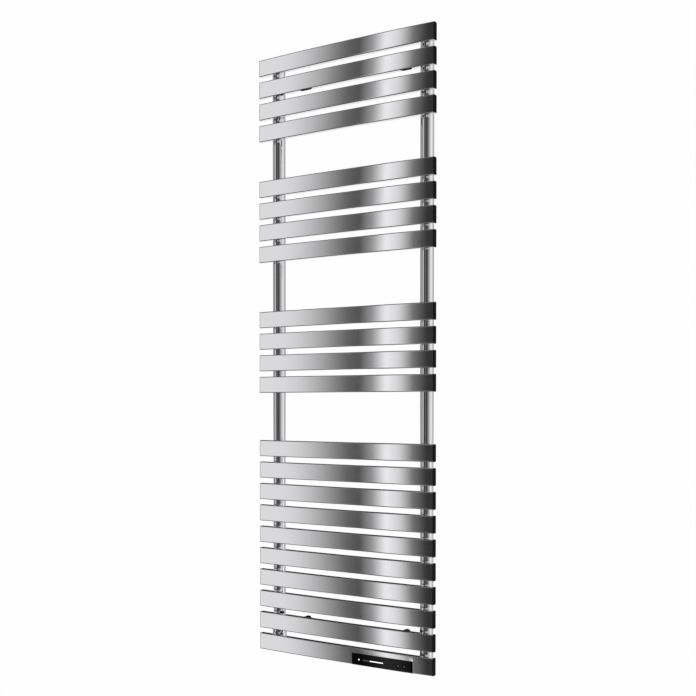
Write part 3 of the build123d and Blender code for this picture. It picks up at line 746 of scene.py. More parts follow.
# ---- Uprights -----------------------------------------------------------------------------------------
@dataclass
class Uprights:
    """The two round tubes, their welded spigots and lids, and the collar at the heated foot."""

    bow: Bow
    radius: float = 16.0 * MM
    wall: float = 1.5 * MM
    edge: float = 0.3 * MM
    spigot: float = 9.0 * MM
    weld: float = 1.3 * MM
    steps: int = 96

    def axis(self, node: str) -> tuple[float, float]:
        """Return the x and y of an upright's axis."""
        low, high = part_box(node)
        return (low.x + high.x) / 2, (low.y + high.y) / 2

    def make_tube(self, node: str) -> None:
        """Make one open round tube.

        Args:
            node: CAD node of the upright.
        """
        low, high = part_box(node)
        x, y = self.axis(node)
        inner = self.radius - self.wall
        length = high.z - low.z
        profile = [
            (inner, 0.0), (self.radius - self.edge, 0.0), (self.radius, self.edge),
            (self.radius, length - self.edge), (self.radius - self.edge, length),
            (inner, length), (inner, 0.0),
        ]
        bm = bmesh.new()
        turned(bm, profile, (x, y, low.z), Along.Z, self.steps)
        finish_piece(bm, f"{node}_tube", CHROME, [node])

    def make_spigots(self, node: str, upright: str, slats: Sequence[str]) -> None:
        """Make the short tubes between an upright and its slats, with a weld bead at both ends.

        Args:
            node: CAD node of the spigots.
            upright: CAD node of the upright that they leave.
            slats: CAD nodes of the slats that they carry.
        """
        x, y = self.axis(upright)
        start = self.bow.front(x) + self.bow.depth() - 0.6 * MM
        saddle = self.radius - math.sqrt(self.radius**2 - self.spigot**2)
        end = y - self.radius + saddle
        length = end - start
        profile = [(0.0, 0.0), (self.spigot + self.weld, 0.0)]
        profile += self.bead(0.6 * MM, 1)
        profile += self.bead(length - saddle * 0.55, -1)
        profile += [(self.spigot + self.weld, length), (0.0, length)]
        bm = bmesh.new()
        for slat in slats:
            low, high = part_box(slat)
            turned(bm, profile, (x, start, (low.z + high.z) / 2), Along.Y, 40)
        finish_piece(bm, f"{node}_welded", CHROME, [node])

    def bead(self, place: float, way: int) -> list[tuple[float, float]]:
        """Return a hollow quarter round between the spigot and what it is welded to.

        Args:
            place: Distance along the spigot where the bead starts.
            way: 1 where the bead narrows along the spigot, -1 where it widens.

        Returns:
            Profile points in order along the spigot.
        """
        points = []
        for step in range(5):
            angle = math.radians(90 * step / 4)
            along = self.weld * (1 - math.cos(angle))
            out = self.weld * (1 - math.sin(angle))
            points.append((self.spigot + out, place + way * along))
        return points if way > 0 else points[::-1]

    def make_lids(self) -> None:
        """Make the domed lids welded into the tops of both tubes."""
        _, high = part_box("upright_caps")
        top = high.z
        rim = top - 2.5 * MM
        bm = bmesh.new()
        profile = [(0.0, rim - 0.5 * MM), (self.radius - 0.4 * MM, rim), (self.radius, rim + 0.4 * MM)]
        profile += [
            (self.radius - 1.6 * MM * (1 - math.cos(a)), top - 0.3 * MM - 1.2 * MM * (1 - math.sin(a)))
            for a in (math.radians(90 * step / 6) for step in range(7))
        ]
        profile += [(self.radius * 0.5, top - 0.06 * MM), (0.0, top)]
        for node in ("left_upright", "right_upright"):
            x, y = self.axis(node)
            turned(bm, profile, (x, y, 0.0), Along.Z, self.steps)
        finish_piece(bm, "upright_caps_domed", CHROME, ["upright_caps"])

    def make_collar(self) -> None:
        """Make the plated collar over the heated foot, with a turned groove under its rim."""
        low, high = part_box("element_collar")
        x, y = self.axis("left_upright")
        outer = (high.x - low.x) / 2
        inner = 10.2 * MM
        length = high.z - low.z
        groove = length - 4.0 * MM
        profile = [
            (inner, 0.0), (outer - 0.8 * MM, 0.0), (outer - 0.2 * MM, 0.3 * MM), (outer, 0.9 * MM),
            (outer, groove), (outer - 0.4 * MM, groove + 0.3 * MM), (outer - 0.4 * MM, groove + 0.7 * MM),
            (outer, groove + 1.0 * MM), (outer, length - 0.9 * MM), (outer - 0.2 * MM, length - 0.3 * MM),
            (outer - 0.8 * MM, length), (inner, length), (inner, 0.0),
        ]
        bm = bmesh.new()
        turned(bm, profile, (x, y, low.z), Along.Z, self.steps)
        finish_piece(bm, "element_collar_turned", CHROME, ["element_collar"])

    def make_plug(self) -> None:
        """Make the filler plug in the foot of the right upright, with a hexagon socket."""
        low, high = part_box("filler_plug")
        x, y = self.axis("right_upright")
        flange = 13.5 * MM
        thickness = 4.0 * MM
        bm = bmesh.new()
        profile = [
            (5.6 * MM, 0.0), (flange - 0.8 * MM, 0.0), (flange, 0.8 * MM), (flange, thickness),
            (14.3 * MM, thickness), (14.3 * MM, high.z - low.z), (0.0, high.z - low.z),
        ]
        turned(bm, profile, (x, y, low.z), Along.Z, 64)
        bottom = thickness - 0.2 * MM
        socket = [(5.6 * MM, 0.0), (5.0 * MM, 0.5 * MM), (5.0 * MM, bottom), (0.0, bottom)]
        turned(bm, socket, (x, y, low.z), Along.Z, 6)
        finish_piece(bm, "filler_plug_turned", ZINC, ["filler_plug"])

    def build(self, plain: Sequence[str]) -> None:
        """Make all pieces of both uprights.

        Args:
            plain: CAD nodes of the plain slats.
        """
        self.make_tube("left_upright")
        self.make_tube("right_upright")
        self.make_spigots("left_spigots", "left_upright", plain)
        self.make_spigots("right_spigots", "right_upright", [*plain, "control_fascia"])
        self.make_lids()
        self.make_collar()
        self.make_plug()


# ---- Wall posts ---------------------------------------------------------------------------------------
@dataclass
class WallPosts:
    """The four black posts: a hub screwed to the wall and a sleeve that slides over it."""

    radius: float = 10.0 * MM
    bore: float = 7.5 * MM
    flange: float = 3.0 * MM
    hub: float = 7.3 * MM
    seat: float = 6.0 * MM
    screw: float = 3.0 * MM
    head: float = 5.2 * MM
    edge: float = 0.5 * MM

    def places(self) -> list[tuple[float, float]]:
        """Return x and z of each post's axis."""
        low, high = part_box("post_sleeves")
        inset = self.radius
        return [(x, z) for x in (low.x + inset, high.x - inset) for z in (low.z + inset, high.z - inset)]

    def build(self) -> None:
        """Make the hubs and the sleeves."""
        sleeve_low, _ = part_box("post_sleeves")
        boss_low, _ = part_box("wall_bosses")
        front = sleeve_low.y
        edge = self.edge
        hub_profile = [
            (self.screw, 0.0), (self.radius - edge, 0.0),
            (self.radius, -edge), (self.radius, edge / 2 - self.flange),
            (self.radius - edge / 2, -self.flange), (self.hub, -self.flange), (self.hub, boss_low.y),
            (self.head, boss_low.y), (self.head, -self.seat), (self.screw, -self.seat), (self.screw, 0.0),
        ]
        sleeve_profile = [
            (self.bore, -self.flange), (self.radius - edge / 2, -self.flange),
            (self.radius, -edge / 2 - self.flange), (self.radius, front + edge),
            (self.radius - edge, front), (self.bore, front), (self.bore, -self.flange),
        ]
        hubs = bmesh.new()
        sleeves = bmesh.new()
        for x, z in self.places():
            turned(hubs, hub_profile, (x, 0.0, z), Along.Y, 56)
            turned(sleeves, sleeve_profile, (x, 0.0, z), Along.Y, 56)
        finish_piece(hubs, "wall_bosses_turned", POST_COAT, ["wall_bosses"])
        finish_piece(sleeves, "post_sleeves_turned", POST_COAT, ["post_sleeves"])


# ---- Control panel ------------------------------------------------------------------------------------
@dataclass
class ControlPanel:
    """Black glass in the fascia, with two keys, a status lens and a light bar."""

    bow: Bow
    thickness: float = 3.0 * MM
    arris: float = 0.25 * MM
    key_gap: float = 0.3 * MM
    guide_gap: float = 0.1 * MM
    print_depth: float = 0.02 * MM

    def centre(self, node: str) -> Vector:
        """Return the middle of a CAD node's box, with y on the glass's front."""
        low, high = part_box(node)
        x = (low.x + high.x) / 2
        return Vector((x, self.bow.front(x), (low.z + high.z) / 2))

    def make_glass(self) -> None:
        """Make the bowed glass with its ground edge and its openings."""
        low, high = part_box("glass_panel")
        bm = bmesh.new()
        verts = block(bm, (low.x, 0.0, low.z), (high.x, self.thickness, high.z))
        front = [e for e in edges_of(verts, lambda d: abs(d.y) < 0.1) if all(v.co.y < TOUCH for v in e.verts)]
        rounded(bm, front, self.arris, 2)
        slice_along_x(bm, low.x, high.x, 24)
        cutters = [self.round_cutter(key, self.key_gap) for key in ("mode_key", "power_key")]
        cutters.append(self.round_cutter("status_lens", self.guide_gap))
        bar_low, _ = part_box("light_bar_dim")
        _, bar_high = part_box("light_bar_lit")
        gap = self.guide_gap
        slot = bmesh.new()
        block(
            slot,
            (bar_low.x - gap, -0.01, bar_low.z - gap),
            (bar_high.x + gap, 2 * self.thickness, bar_high.z + gap),
        )
        cutters.append(slot)
        bm = self.cut(bm, cutters)
        self.bow.bend(bm)
        finish_piece(bm, "glass_panel_ground", GLASS, ["glass_panel"], weighted=True)

    def round_cutter(self, node: str, gap: float) -> bmesh.types.BMesh:
        """Make a rod through the flat glass where a round part sits.

        Args:
            node: CAD node of the round part.
            gap: Clearance round it.

        Returns:
            The rod.
        """
        middle = self.centre(node)
        radius = self.head_radius(node) + gap
        bm = bmesh.new()
        turned(
            bm, [(0.0, -0.01), (radius, -0.01), (radius, 2 * self.thickness), (0.0, 2 * self.thickness)],
            (middle.x, 0.0, middle.z), Along.Y, 64,
        )
        return bm

    @staticmethod
    def head_radius(node: str) -> float:
        """Radius of the part of a key or lens that shows in the glass."""
        return 4.5 * MM if node.endswith("key") else 3.0 * MM

    @staticmethod
    def cut(bm: bmesh.types.BMesh, cutters: Sequence[bmesh.types.BMesh]) -> bmesh.types.BMesh:
        """Cut shapes out of a mesh.

        Args:
            bm: Mesh to cut. It is freed.
            cutters: Closed shapes to take away. They are freed.

        Returns:
            The cut mesh.
        """
        def temporary(source: bmesh.types.BMesh, name: str) -> bpy.types.Object:
            bmesh.ops.recalc_face_normals(source, faces=source.faces)
            mesh = bpy.data.meshes.new(name)
            source.to_mesh(mesh)
            source.free()
            made = bpy.data.objects.new(name, mesh)
            bpy.context.scene.collection.objects.link(made)
            return made

        blank = temporary(bm, "blank")
        tools = [temporary(cutter, f"tool_{number}") for number, cutter in enumerate(cutters)]
        for tool in tools:
            modifier = blank.modifiers.new(tool.name, "BOOLEAN")
            modifier.operation = "DIFFERENCE"
            modifier.solver = "EXACT"
            modifier.object = tool
        graph = bpy.context.evaluated_depsgraph_get()
        result = bmesh.new()
        result.from_mesh(blank.evaluated_get(graph).to_mesh())
        for made in (blank, *tools):
            mesh = made.data
            bpy.data.objects.remove(made)
            bpy.data.meshes.remove(mesh)
        return result

    def make_key(self, node: str) -> None:
        """Make one push key with its hidden flange and stem.

        Args:
            node: CAD node of the key, which is also its body.
        """
        low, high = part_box(node)
        middle = self.centre(node)
        radius = self.head_radius(node)
        length = high.y - low.y
        flange = 3.3 * MM
        dish = 0.12 * MM
        profile = [
            (0.0, dish), (radius * 0.55, dish * 0.8), (radius - 0.6 * MM, 0.0),
            (radius - 0.25 * MM, 0.06 * MM), (radius, 0.3 * MM), (radius, flange),
            (5.8 * MM, flange), (5.8 * MM, flange + 0.8 * MM),
            (2.5 * MM, flange + 0.8 * MM), (2.5 * MM, length), (0.0, length),
        ]
        bm = bmesh.new()
        turned(bm, profile, (middle.x, low.y, middle.z), Along.Y, 64)
        finish_piece(bm, f"{node}_moulded", KEY_PLASTIC, [node], body=node)

    def ring(self, bm: bmesh.types.BMesh, inner: float, outer: float, start: float, end: float) -> None:
        """Add a flat printed arc in the XZ plane round the origin.

        Args:
            bm: Mesh that gets the arc.
            inner: Inside radius.
            outer: Outside radius.
            start: Angle from +Z where it starts, in degrees clockwise from the front.
            end: Angle where it ends.
        """
        steps = 40
        rows = []
        for number in range(steps + 1):
            angle = math.radians(start + (end - start) * number / steps)
            across = (math.sin(angle), math.cos(angle))
            rows.append([bm.verts.new((r * across[0], 0.0, r * across[1])) for r in (inner, outer)])
        for a, b in zip(rows, rows[1:]):
            bm.faces.new((a[0], a[1], b[1], b[0]))
        if end - start >= 360:
            bmesh.ops.remove_doubles(bm, verts=bm.verts, dist=TOUCH)

    def make_print(self, node: str, power: bool) -> None:
        """Print a key's symbol: an open ring and a bar for power, a whole ring and a dot otherwise.

        Args:
            node: CAD node of the key.
            power: True for the power symbol.
        """
        low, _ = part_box(node)
        middle = self.centre(node)
        bm = bmesh.new()
        if power:
            self.ring(bm, 1.75 * MM, 2.2 * MM, 35, 325)
            stroke = 0.22 * MM
            corners = ((-stroke, 0.5 * MM), (stroke, 0.5 * MM), (stroke, 2.4 * MM), (-stroke, 2.4 * MM))
            bm.faces.new([bm.verts.new((x, 0.0, z)) for x, z in corners])
        else:
            self.ring(bm, 1.75 * MM, 2.2 * MM, 0, 360)
            self.ring(bm, 0.05 * MM, 0.55 * MM, 0, 360)
        bmesh.ops.recalc_face_normals(bm, faces=bm.faces)
        bmesh.ops.solidify(bm, geom=list(bm.faces), thickness=self.print_depth)
        bmesh.ops.translate(bm, verts=bm.verts, vec=(middle.x, low.y + 0.1 * MM, middle.z))
        # The printed symbol gets a painted glow: it is print, not a lamp.
        finish_piece(bm, f"{node}_symbol", PAINTED_GLOW_PRINT, body=node)

    def make_lens(self) -> None:
        """Make the status lens: a clear rim round a lit core."""
        low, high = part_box("status_lens")
        middle = self.centre("status_lens")
        radius = self.head_radius("status_lens")
        core = 1.8 * MM
        length = high.y - low.y
        rim = bmesh.new()
        profile = [
            (core, 0.1 * MM), (radius - 0.2 * MM, 0.0), (radius, 0.2 * MM),
            (radius, length), (core, length), (core, 0.1 * MM),
        ]
        turned(rim, profile, (middle.x, low.y, middle.z), Along.Y, 48)
        finish_piece(rim, "status_lens_rim", KEY_PLASTIC, ["status_lens"])
        light = bmesh.new()
        profile = [
            (0.0, 0.02 * MM), (core * 0.7, 0.05 * MM), (core, 0.12 * MM), (core, length), (0.0, length),
        ]
        turned(light, profile, (middle.x, low.y, middle.z), Along.Y, 48)
        finish_piece(light, "status_lens_core", LIT)

    def make_bar(self, node: str, finish: Finish, core_share: float) -> None:
        """Make one length of the light bar.

        Args:
            node: CAD node of the length.
            finish: Finish of its glowing core; on the unlit length the glow is painted.
            core_share: Share of the bar's height that glows.
        """
        low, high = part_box(node)
        middle = (low.z + high.z) / 2
        half = (high.z - low.z) / 2
        depth = 4.0 * MM
        core = half * core_share
        shapes = ((middle - half, middle - core), (middle + core, middle + half))
        sides = bmesh.new()
        for bottom, top in shapes:
            block(sides, (low.x, 0.0, bottom), (high.x, depth, top))
        slice_along_x(sides, low.x, high.x, 8)
        self.bow.bend(sides)
        finish_piece(sides, f"{node}_edges", KEY_PLASTIC, [node])
        light = bmesh.new()
        verts = block(light, (low.x, 0.0, middle - core), (high.x, depth, middle + core))
        front = [e for e in edges_of(verts, lambda d: abs(d.y) < 0.1) if all(v.co.y < TOUCH for v in e.verts)]
        rounded(light, front, 0.2 * MM, 2)
        slice_along_x(light, low.x, high.x, 8)
        self.bow.bend(light)
        finish_piece(light, f"{node}_core", finish)

    def build(self) -> None:
        """Make all visible pieces of the panel."""
        self.make_glass()
        self.make_key("mode_key")
        self.make_key("power_key")
        self.make_print("mode_key", power=False)
        self.make_print("power_key", power=True)
        self.make_lens()
        # The unlit length of the bar gets a faint painted glow.
        self.make_bar("light_bar_dim", UNLIT_PAINTED_GLOW, 0.5)
        self.make_bar("light_bar_lit", LIT, 0.54)


# ---- Power housing and the heated foot ----------------------------------------------------------------
@dataclass
class PowerHousing:
    """Black plastic pieces behind the fascia: power housing, cover, mains switch, gland, box and duct."""

    bow: Bow
    edge: float = 1.2 * MM

    def follow(self, bm: bmesh.types.BMesh, back: float) -> None:
        """Press the front of a straight shape onto the bowed back of the fascia.

        Args:
            bm: Shape whose front is at y = 0.
            back: Y of its back, where the bow has no more effect.
        """
        for vert in bm.verts:
            front = self.bow.front(vert.co.x) + self.bow.depth()
            share = vert.co.y
            vert.co.y = front + (back - front) * share

    def make_housing(self) -> None:
        """Make the tub behind the fascia."""
        low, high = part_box("rear_housing")
        bm = bmesh.new()
        verts = block(bm, (low.x, 0.0, low.z), (high.x, 1.0, high.z))
        rounded(bm, edges_of(verts, lambda d: abs(d.y) > 0.9), self.edge, 4)
        slice_along_x(bm, low.x, high.x, 12)
        self.follow(bm, high.y)
        switch_low, switch_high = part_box("switch_frame")
        pocket = bmesh.new()
        wall = 1.5 * MM
        block(
            pocket,
            (switch_low.x + wall, switch_low.y + wall, low.z - 1 * MM),
            (switch_high.x - wall, switch_high.y - wall, switch_high.z + 1 * MM),
        )
        bm = ControlPanel.cut(bm, [pocket])
        finish_piece(bm, "rear_housing_moulded", HOUSING, ["rear_housing"], weighted=True)

    def make_cover(self) -> None:
        """Make the lid with a soft edge and its four sunk cross-head screws."""
        low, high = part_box("rear_cover")
        bm = bmesh.new()
        verts = block(bm, tuple(low), tuple(high))
        rounded(bm, edges_of(verts, lambda d: abs(d.y) > 0.9), 2.0 * MM, 5)
        rim = [e for e in bm.edges if all(abs(v.co.y - high.y) < TOUCH for v in e.verts)]
        rounded(bm, rim, 0.5 * MM, 3)
        screws_low, screws_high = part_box("cover_screws")
        head = 2.8 * MM
        places = [
            (x, z)
            for x in (screws_low.x + head, screws_high.x - head)
            for z in (screws_low.z + head, screws_high.z - head)
        ]
        sinks = []
        for x, z in places:
            sink = bmesh.new()
            radius = head + 0.1 * MM
            depth = high.y - 1.25 * MM
            turned(sink, [(0, depth), (radius, depth), (radius, 0.0), (0, 0.0)], (x, 0.0, z), Along.Y, 40)
            sinks.append(sink)
        bm = ControlPanel.cut(bm, sinks)
        finish_piece(bm, "rear_cover_moulded", HOUSING, ["rear_cover"], weighted=True)
        self.make_screws(places, screws_high.y)

    def make_screws(self, places: Sequence[tuple[float, float]], top: float) -> None:
        """Make the cover's screws, each with a cross recess.

        Args:
            places: X and z of each screw.
            top: Y of the heads' outside.
        """
        screws = bmesh.new()
        head = 2.8 * MM
        shank = 1.5 * MM
        for x, z in places:
            profile = [
                (0.0, -8 * MM), (shank, -7 * MM), (shank, -1.25 * MM),
                (head - 0.1 * MM, -1.1 * MM), (head, -0.5 * MM), (head - 0.3 * MM, -0.12 * MM), (0.0, 0.0),
            ]
            turned(screws, profile, (x, top, z), Along.Y, 32)
        slots = []
        for x, z in places:
            for size in ((1.7, 0.3), (0.3, 1.7)):
                slot = bmesh.new()
                block(
                    slot,
                    (x - size[0] * MM, top - 0.7 * MM, z - size[1] * MM),
                    (x + size[0] * MM, top + 1 * MM, z + size[1] * MM),
                )
                slots.append(slot)
        screws = ControlPanel.cut(screws, slots)
        finish_piece(screws, "cover_screws_crossed", ZINC, ["cover_screws"])

    def make_switch(self) -> None:
        """Make the plate over the switch, with a soft edge."""
        low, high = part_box("switch_frame")
        bezel = 2.0 * MM
        bm = bmesh.new()
        verts = block(bm, tuple(low), (high.x, high.y, low.z + bezel))
        rounded(bm, edges_of(verts, lambda d: abs(d.z) > 0.9), 1.5 * MM, 4)
        rim = [e for e in bm.edges if all(abs(v.co.z - low.z) < TOUCH for v in e.verts)]
        rounded(bm, rim, 0.4 * MM, 3)
        body_inset = 1.0 * MM
        block(
            bm,
            (low.x + body_inset, low.y + body_inset * 1.1, low.z + bezel),
            (high.x - body_inset, high.y - body_inset * 1.1, high.z),
        )
        pocket = bmesh.new()
        middle = (low + high) / 2
        half_length = 8.7 * MM
        half_width = 5.7 * MM
        block(
            pocket,
            (middle.x - half_length, middle.y - half_width, low.z - 1 * MM),
            (middle.x + half_length, middle.y + half_width, high.z - 2 * MM),
        )
        bm = ControlPanel.cut(bm, [pocket])
        finish_piece(bm, "switch_frame_moulded", HOUSING, ["switch_frame"], weighted=True)

    def make_gland(self) -> None:
        """Make the cable gland: a hexagon, a ribbed dome and its bore."""
        low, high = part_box("cable_gland")
        middle = (low + high) / 2
        housing_low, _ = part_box("rear_housing")
        bm = bmesh.new()
        bore = 3.3 * MM
        dome = 5.4 * MM
        start = low.x
        nut = housing_low.x - 5.0 * MM
        end = high.x
        profile = [
            (bore, start + 0.3 * MM), (bore + 0.4 * MM, start), (dome - 1.6 * MM, start + 0.1 * MM),
            (dome - 0.5 * MM, start + 0.7 * MM), (dome, start + 2.0 * MM), (dome, nut), (5.0 * MM, nut),
            (5.0 * MM, end), (bore, end), (bore, start + 0.3 * MM),
        ]
        turned(bm, profile, (0.0, middle.y, middle.z), Along.X, 60)
        hexagon = 6.35 * MM
        for left, right in ((nut, nut + 4.9 * MM), (housing_low.x + 2.1 * MM, housing_low.x + 4.4 * MM)):
            flats = [
                (5.0 * MM, left), (hexagon - 0.4 * MM, left), (hexagon, left + 0.3 * MM),
                (hexagon, right - 0.3 * MM), (hexagon - 0.4 * MM, right), (5.0 * MM, right), (5.0 * MM, left),
            ]
            turned(bm, flats, (0.0, middle.y, middle.z), Along.X, 6)
        rib_count = 16
        for number in range(rib_count):
            angle = math.tau * number / rib_count
            out = Vector((0.0, math.cos(angle), math.sin(angle))) * (dome - 0.1 * MM)
            rib = block(bm, (start + 2.4 * MM, -0.3 * MM, -0.25 * MM), (nut - 0.5 * MM, 0.3 * MM, 0.25 * MM))
            place = Matrix.Translation((0.0, middle.y + out.y, middle.z + out.z))
            bmesh.ops.transform(bm, matrix=place @ Matrix.Rotation(angle, 4, "X"), verts=rib)
        finish_piece(bm, "cable_gland_moulded", HOUSING, ["cable_gland"])

    def make_terminal_box(self) -> None:
        """Make the box round the heated foot, with a parting line under its lid."""
        low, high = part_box("terminal_box")
        foot_low, foot_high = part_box("left_upright")
        x = (foot_low.x + foot_high.x) / 2
        y = (foot_low.y + foot_high.y) / 2
        half = 19.0 * MM
        corner = 5.0 * MM
        parting = high.z - 4.0 * MM
        groove = 0.35 * MM
        bm = bmesh.new()
        layers = (
            (low.z, parting - groove, 0.0), (parting - groove, parting + groove, groove),
            (parting + groove, high.z, 0.0),
        )
        for bottom, top, inset in layers:
            reach = half - inset
            verts = block(bm, (x - reach, y - reach, bottom), (x + reach, y + reach, top))
            rounded(bm, edges_of(verts, lambda d: abs(d.z) > 0.9), corner - inset, 6)
        for height in (low.z, high.z):
            rim = [e for e in bm.edges if all(abs(v.co.z - height) < TOUCH for v in e.verts)]
            rounded(bm, rim, 0.8 * MM, 3)
        lug = 6.0 * MM
        lug_front = max(low.y, self.bow.front(x) + self.bow.depth())
        profile = [(0.0, lug_front), (lug, lug_front), (lug, y - half + 1 * MM), (0.0, y - half + 1 * MM)]
        turned(bm, profile, (x, 0.0, (low.z + high.z) / 2), Along.Y, 40)
        finish_piece(bm, "terminal_box_moulded", HOUSING, ["terminal_box"], weighted=True)

    def make_duct(self) -> None:
        """Make the wiring channel that follows the fascia, with a snap-on lid line underneath."""
        low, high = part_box("wire_duct")
        near = 19.0 * MM
        far = 31.0 * MM
        bm = bmesh.new()
        verts = block(bm, (low.x, near, low.z), (high.x, far, high.z))
        rounded(bm, edges_of(verts, lambda d: abs(d.x) > 0.9), 1.0 * MM, 3)
        inset = 1 * MM
        lip = 2 * MM
        block(bm, (low.x + inset, near + lip, low.z), (high.x - inset, far - lip, low.z + inset))
        slice_along_x(bm, low.x, high.x, 16)
        self.bow.bend(bm)
        finish_piece(bm, "wire_duct_moulded", HOUSING, ["wire_duct"], weighted=True)

    def build(self) -> None:
        """Make all black plastic pieces behind the fascia."""
        self.make_housing()
        self.make_cover()
        self.make_switch()
        self.make_gland()
        self.make_terminal_box()
        self.make_duct()


# ---- Studio -------------------------------------------------------------------------------------------
@dataclass
class Studio:
    """Pale floor, soft surroundings and the camera."""

    floor_drop: float = 0.6
    floor_size: float = 60.0
    camera_place: tuple[float, float, float] = (1.3343, -2.1307, -0.0982)
    camera_azimuth: float = 32.56
    camera_pitch: float = -1.25
    lens: float = 52.36
    sensor_height: float = 36.0
    sensor_width: float = 30.5
    shift: float = 0.1115

    # Brightness of the surroundings by azimuth in degrees, from the front (0) towards the right.
    around: tuple[tuple[float, float], ...] = (
        (-180, 165), (-108, 148), (-75, 158), (-55, 125),  # grey wall behind and on the left
        (-47, 130), (-44.5, 218), (-39.5, 217), (-37.5, 204), (-35, 163), (-33.5, 127),  # white scrim, fading
        (-32, 86), (-31.2, 76), (-30.5, 82), (-29.8, 118),  # flag beside it
        (-28.5, 220), (-27.8, 250), (-27.3, 248), (-26.7, 208), (-25.5, 119), (-24.4, 58),  # strip light
        (-23.3, 40), (-0.5, 54), (2, 180), (4.5, 55), (22, 62),  # dark front, with one slim lamp in it
        (39, 98), (55, 145), (74, 188), (93, 228), (114, 226),  # broad light on the right
        (140, 181), (180, 165),  # the wall behind again
    )

    # Factor on that brightness by the sine of the elevation, up or down: dark borders above and below.
    bands: tuple[tuple[float, float], ...] = ((0.0, 1.0), (0.36, 1.0), (0.46, 0.25), (0.84, 0.25))
    overhead_level: float = 215
    rear_flag_azimuth: float = -146.0
    rear_flag_reach: float = 24.0
    rear_flag_level: float = 40
    rear_floor_level: float = 250
    rear_fade: float = 8.0  # degrees over which the rear flags fade out
    paper_level: float = 254

    def behind(self, tree: bpy.types.NodeTree, turn: bpy.types.NodeSocket) -> bpy.types.NodeSocket:
        """Find the directions behind the object, which its level faces reflect.

        Args:
            tree: Node tree of the world.
            turn: Azimuth, in radians.

        Returns:
            How far a direction lies behind the object as the camera sees it, from 0 to 1.
        """
        off_axis = add_node(
            tree, "ShaderNodeMath", {0: turn, 1: math.radians(self.rear_flag_azimuth)}, operation="SUBTRACT"
        )
        off_axis = add_node(tree, "ShaderNodeMath", {0: off_axis.outputs[0]}, operation="ABSOLUTE")
        beside = add_node(
            tree, "ShaderNodeMapRange",
            {
                "Value": off_axis.outputs[0],
                "From Min": math.radians(self.rear_flag_reach),
                "From Max": math.radians(self.rear_flag_reach + self.rear_fade),
                "To Min": 1.0,
                "To Max": 0.0,
            },
        )
        return beside.outputs[0]

    def make_world(self) -> None:
        """Make the surroundings that the chrome reflects, and the white that the camera sees."""
        world = bpy.data.worlds.new("studio")
        bpy.context.scene.world = world
        world.use_nodes = True
        tree = world.node_tree
        place = add_node(tree, "ShaderNodeTexCoord")
        split = add_node(tree, "ShaderNodeSeparateXYZ", {"Vector": place.outputs["Generated"]})
        back = add_node(tree, "ShaderNodeMath", {0: split.outputs["Y"], 1: -1.0}, operation="MULTIPLY")
        turn = add_node(
            tree, "ShaderNodeMath", {0: split.outputs["X"], 1: back.outputs[0]}, operation="ARCTAN2"
        )
        share = add_node(
            tree, "ShaderNodeMapRange", {"Value": turn.outputs[0], "From Min": -math.pi, "From Max": math.pi}
        )
        ramp = add_node(tree, "ShaderNodeValToRGB", {"Fac": share.outputs["Result"]})
        mirror = srgb(CHROME.colour)[0]
        set_ramp(ramp, [((angle + 180) / 360, grey(level) / mirror) for angle, level in self.around])
        behind = self.behind(tree, turn.outputs[0])
        flagged = ramp.outputs["Color"]
        for low, high, level in ((0.005, 0.04, self.rear_flag_level), (-0.005, -0.04, self.rear_floor_level)):
            side = add_node(
                tree, "ShaderNodeMapRange", {"Value": split.outputs["Z"], "From Min": low, "From Max": high}
            )
            part = add_node(tree, "ShaderNodeMath", {0: behind, 1: side.outputs[0]}, operation="MULTIPLY")
            flagged = mix_colours(tree, part.outputs[0], flagged, grey_colour(level))
        steep = add_node(tree, "ShaderNodeMath", {0: split.outputs["Z"]}, operation="ABSOLUTE")
        bands = add_node(tree, "ShaderNodeValToRGB", {"Fac": steep.outputs[0]})
        set_ramp(bands, self.bands)
        banded = mix_colours(tree, 1.0, flagged, bands.outputs["Color"], "MULTIPLY")
        overhead = add_node(
            tree, "ShaderNodeMapRange",
            {"Value": steep.outputs[0], "From Min": 0.86, "From Max": 0.95}, interpolation_type="SMOOTHSTEP",
        )
        dome = mix_colours(tree, overhead.outputs["Result"], banded, grey_colour(self.overhead_level))
        seen = add_node(tree, "ShaderNodeLightPath")
        white = mix_colours(tree, seen.outputs["Is Camera Ray"], dome, grey_colour(self.paper_level))
        tree.links.new(white, tree.nodes["Background"].inputs["Color"])

    def make_floor(self) -> None:
        """Make the pale floor, well under the hung rack."""
        bm = bmesh.new()
        half = self.floor_size / 2
        bmesh.ops.create_grid(bm, x_segments=4, y_segments=4, size=half)
        height = CAD_BOX[0].z - self.floor_drop
        bmesh.ops.translate(bm, verts=bm.verts, vec=(0, 0, height))
        mesh = bpy.data.meshes.new("floor")
        bm.to_mesh(mesh)
        bm.free()
        material = bpy.data.materials.new("pale_studio_floor")
        material.use_nodes = True
        tree = material.node_tree
        glow = add_node(tree, "ShaderNodeEmission", {"Color": grey_colour(self.paper_level), "Strength": 1.0})
        tree.links.new(glow.outputs[0], tree.nodes["Material Output"].inputs["Surface"])
        mesh.materials.append(material)
        floor = bpy.data.objects.new("floor", mesh)
        bpy.context.scene.collection.objects.link(floor)
        floor.visible_glossy = False

    def make_camera(self) -> None:
        """Make the camera, a little above mid-height and to the right of the rack."""
        data = bpy.data.cameras.new("camera")
        data.sensor_fit = "VERTICAL"
        data.sensor_height = self.sensor_height
        data.sensor_width = self.sensor_width
        data.lens = self.lens
        data.shift_y = self.shift
        data.clip_end = 200.0
        camera = bpy.data.objects.new("camera", data)
        bpy.context.scene.collection.objects.link(camera)
        camera.location = self.camera_place
        camera.rotation_euler = (math.radians(90 + self.camera_pitch), 0.0, math.radians(self.camera_azimuth))
        bpy.context.scene.camera = camera

    def build(self) -> None:
        """Make everything round the object."""
        bpy.context.scene.view_settings.view_transform = "Standard"
        self.make_world()
        self.make_floor()
        self.make_camera()


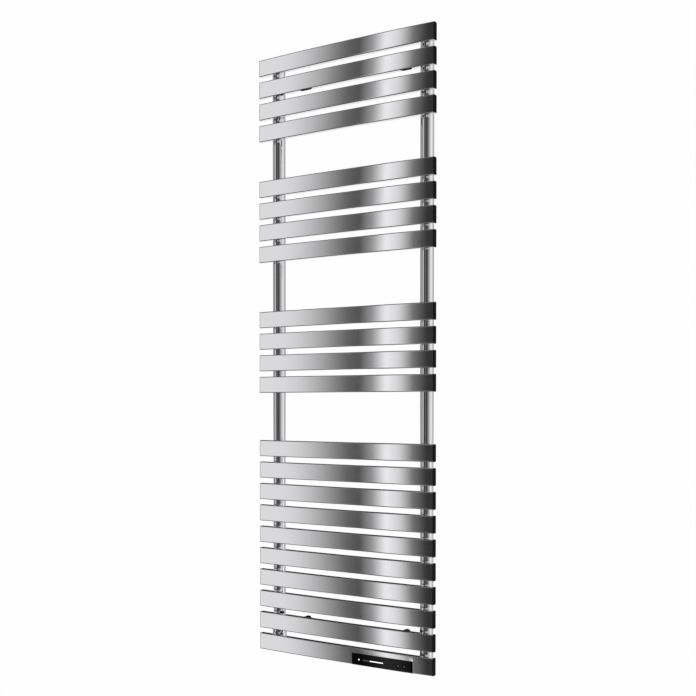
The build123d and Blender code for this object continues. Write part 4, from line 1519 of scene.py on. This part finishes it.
def dress_cad_nodes() -> None:
    """Give every CAD node the material of its record slot; the nodes that pieces replace stay hidden."""
    by_slot = {finish.slot: finish for finish in FINISHES}
    for entry in frame["record"]["subparts"]:
        node = frame["nodes"][entry["node"]]
        node.data.materials.clear()
        node.data.materials.append(by_slot[entry["material_slot"]].material())


def main() -> None:
    """Build the object's pieces in order, then the studio round them."""
    logging.basicConfig(level=logging.INFO, format="%(message)s")
    dress_cad_nodes()
    bow = Bow.from_frame()
    plain = [f"slat_{number:02d}" for number in range(1, 22)]
    slats = Slats(bow)
    slats.make_slats(plain)
    slats.make_fascia()
    slats.make_caps([*plain, "control_fascia"])
    Uprights(bow).build(plain)
    WallPosts().build()
    ControlPanel(bow).build()
    PowerHousing(bow).build()
    Studio().build()


if __name__ == "__main__":
    main()
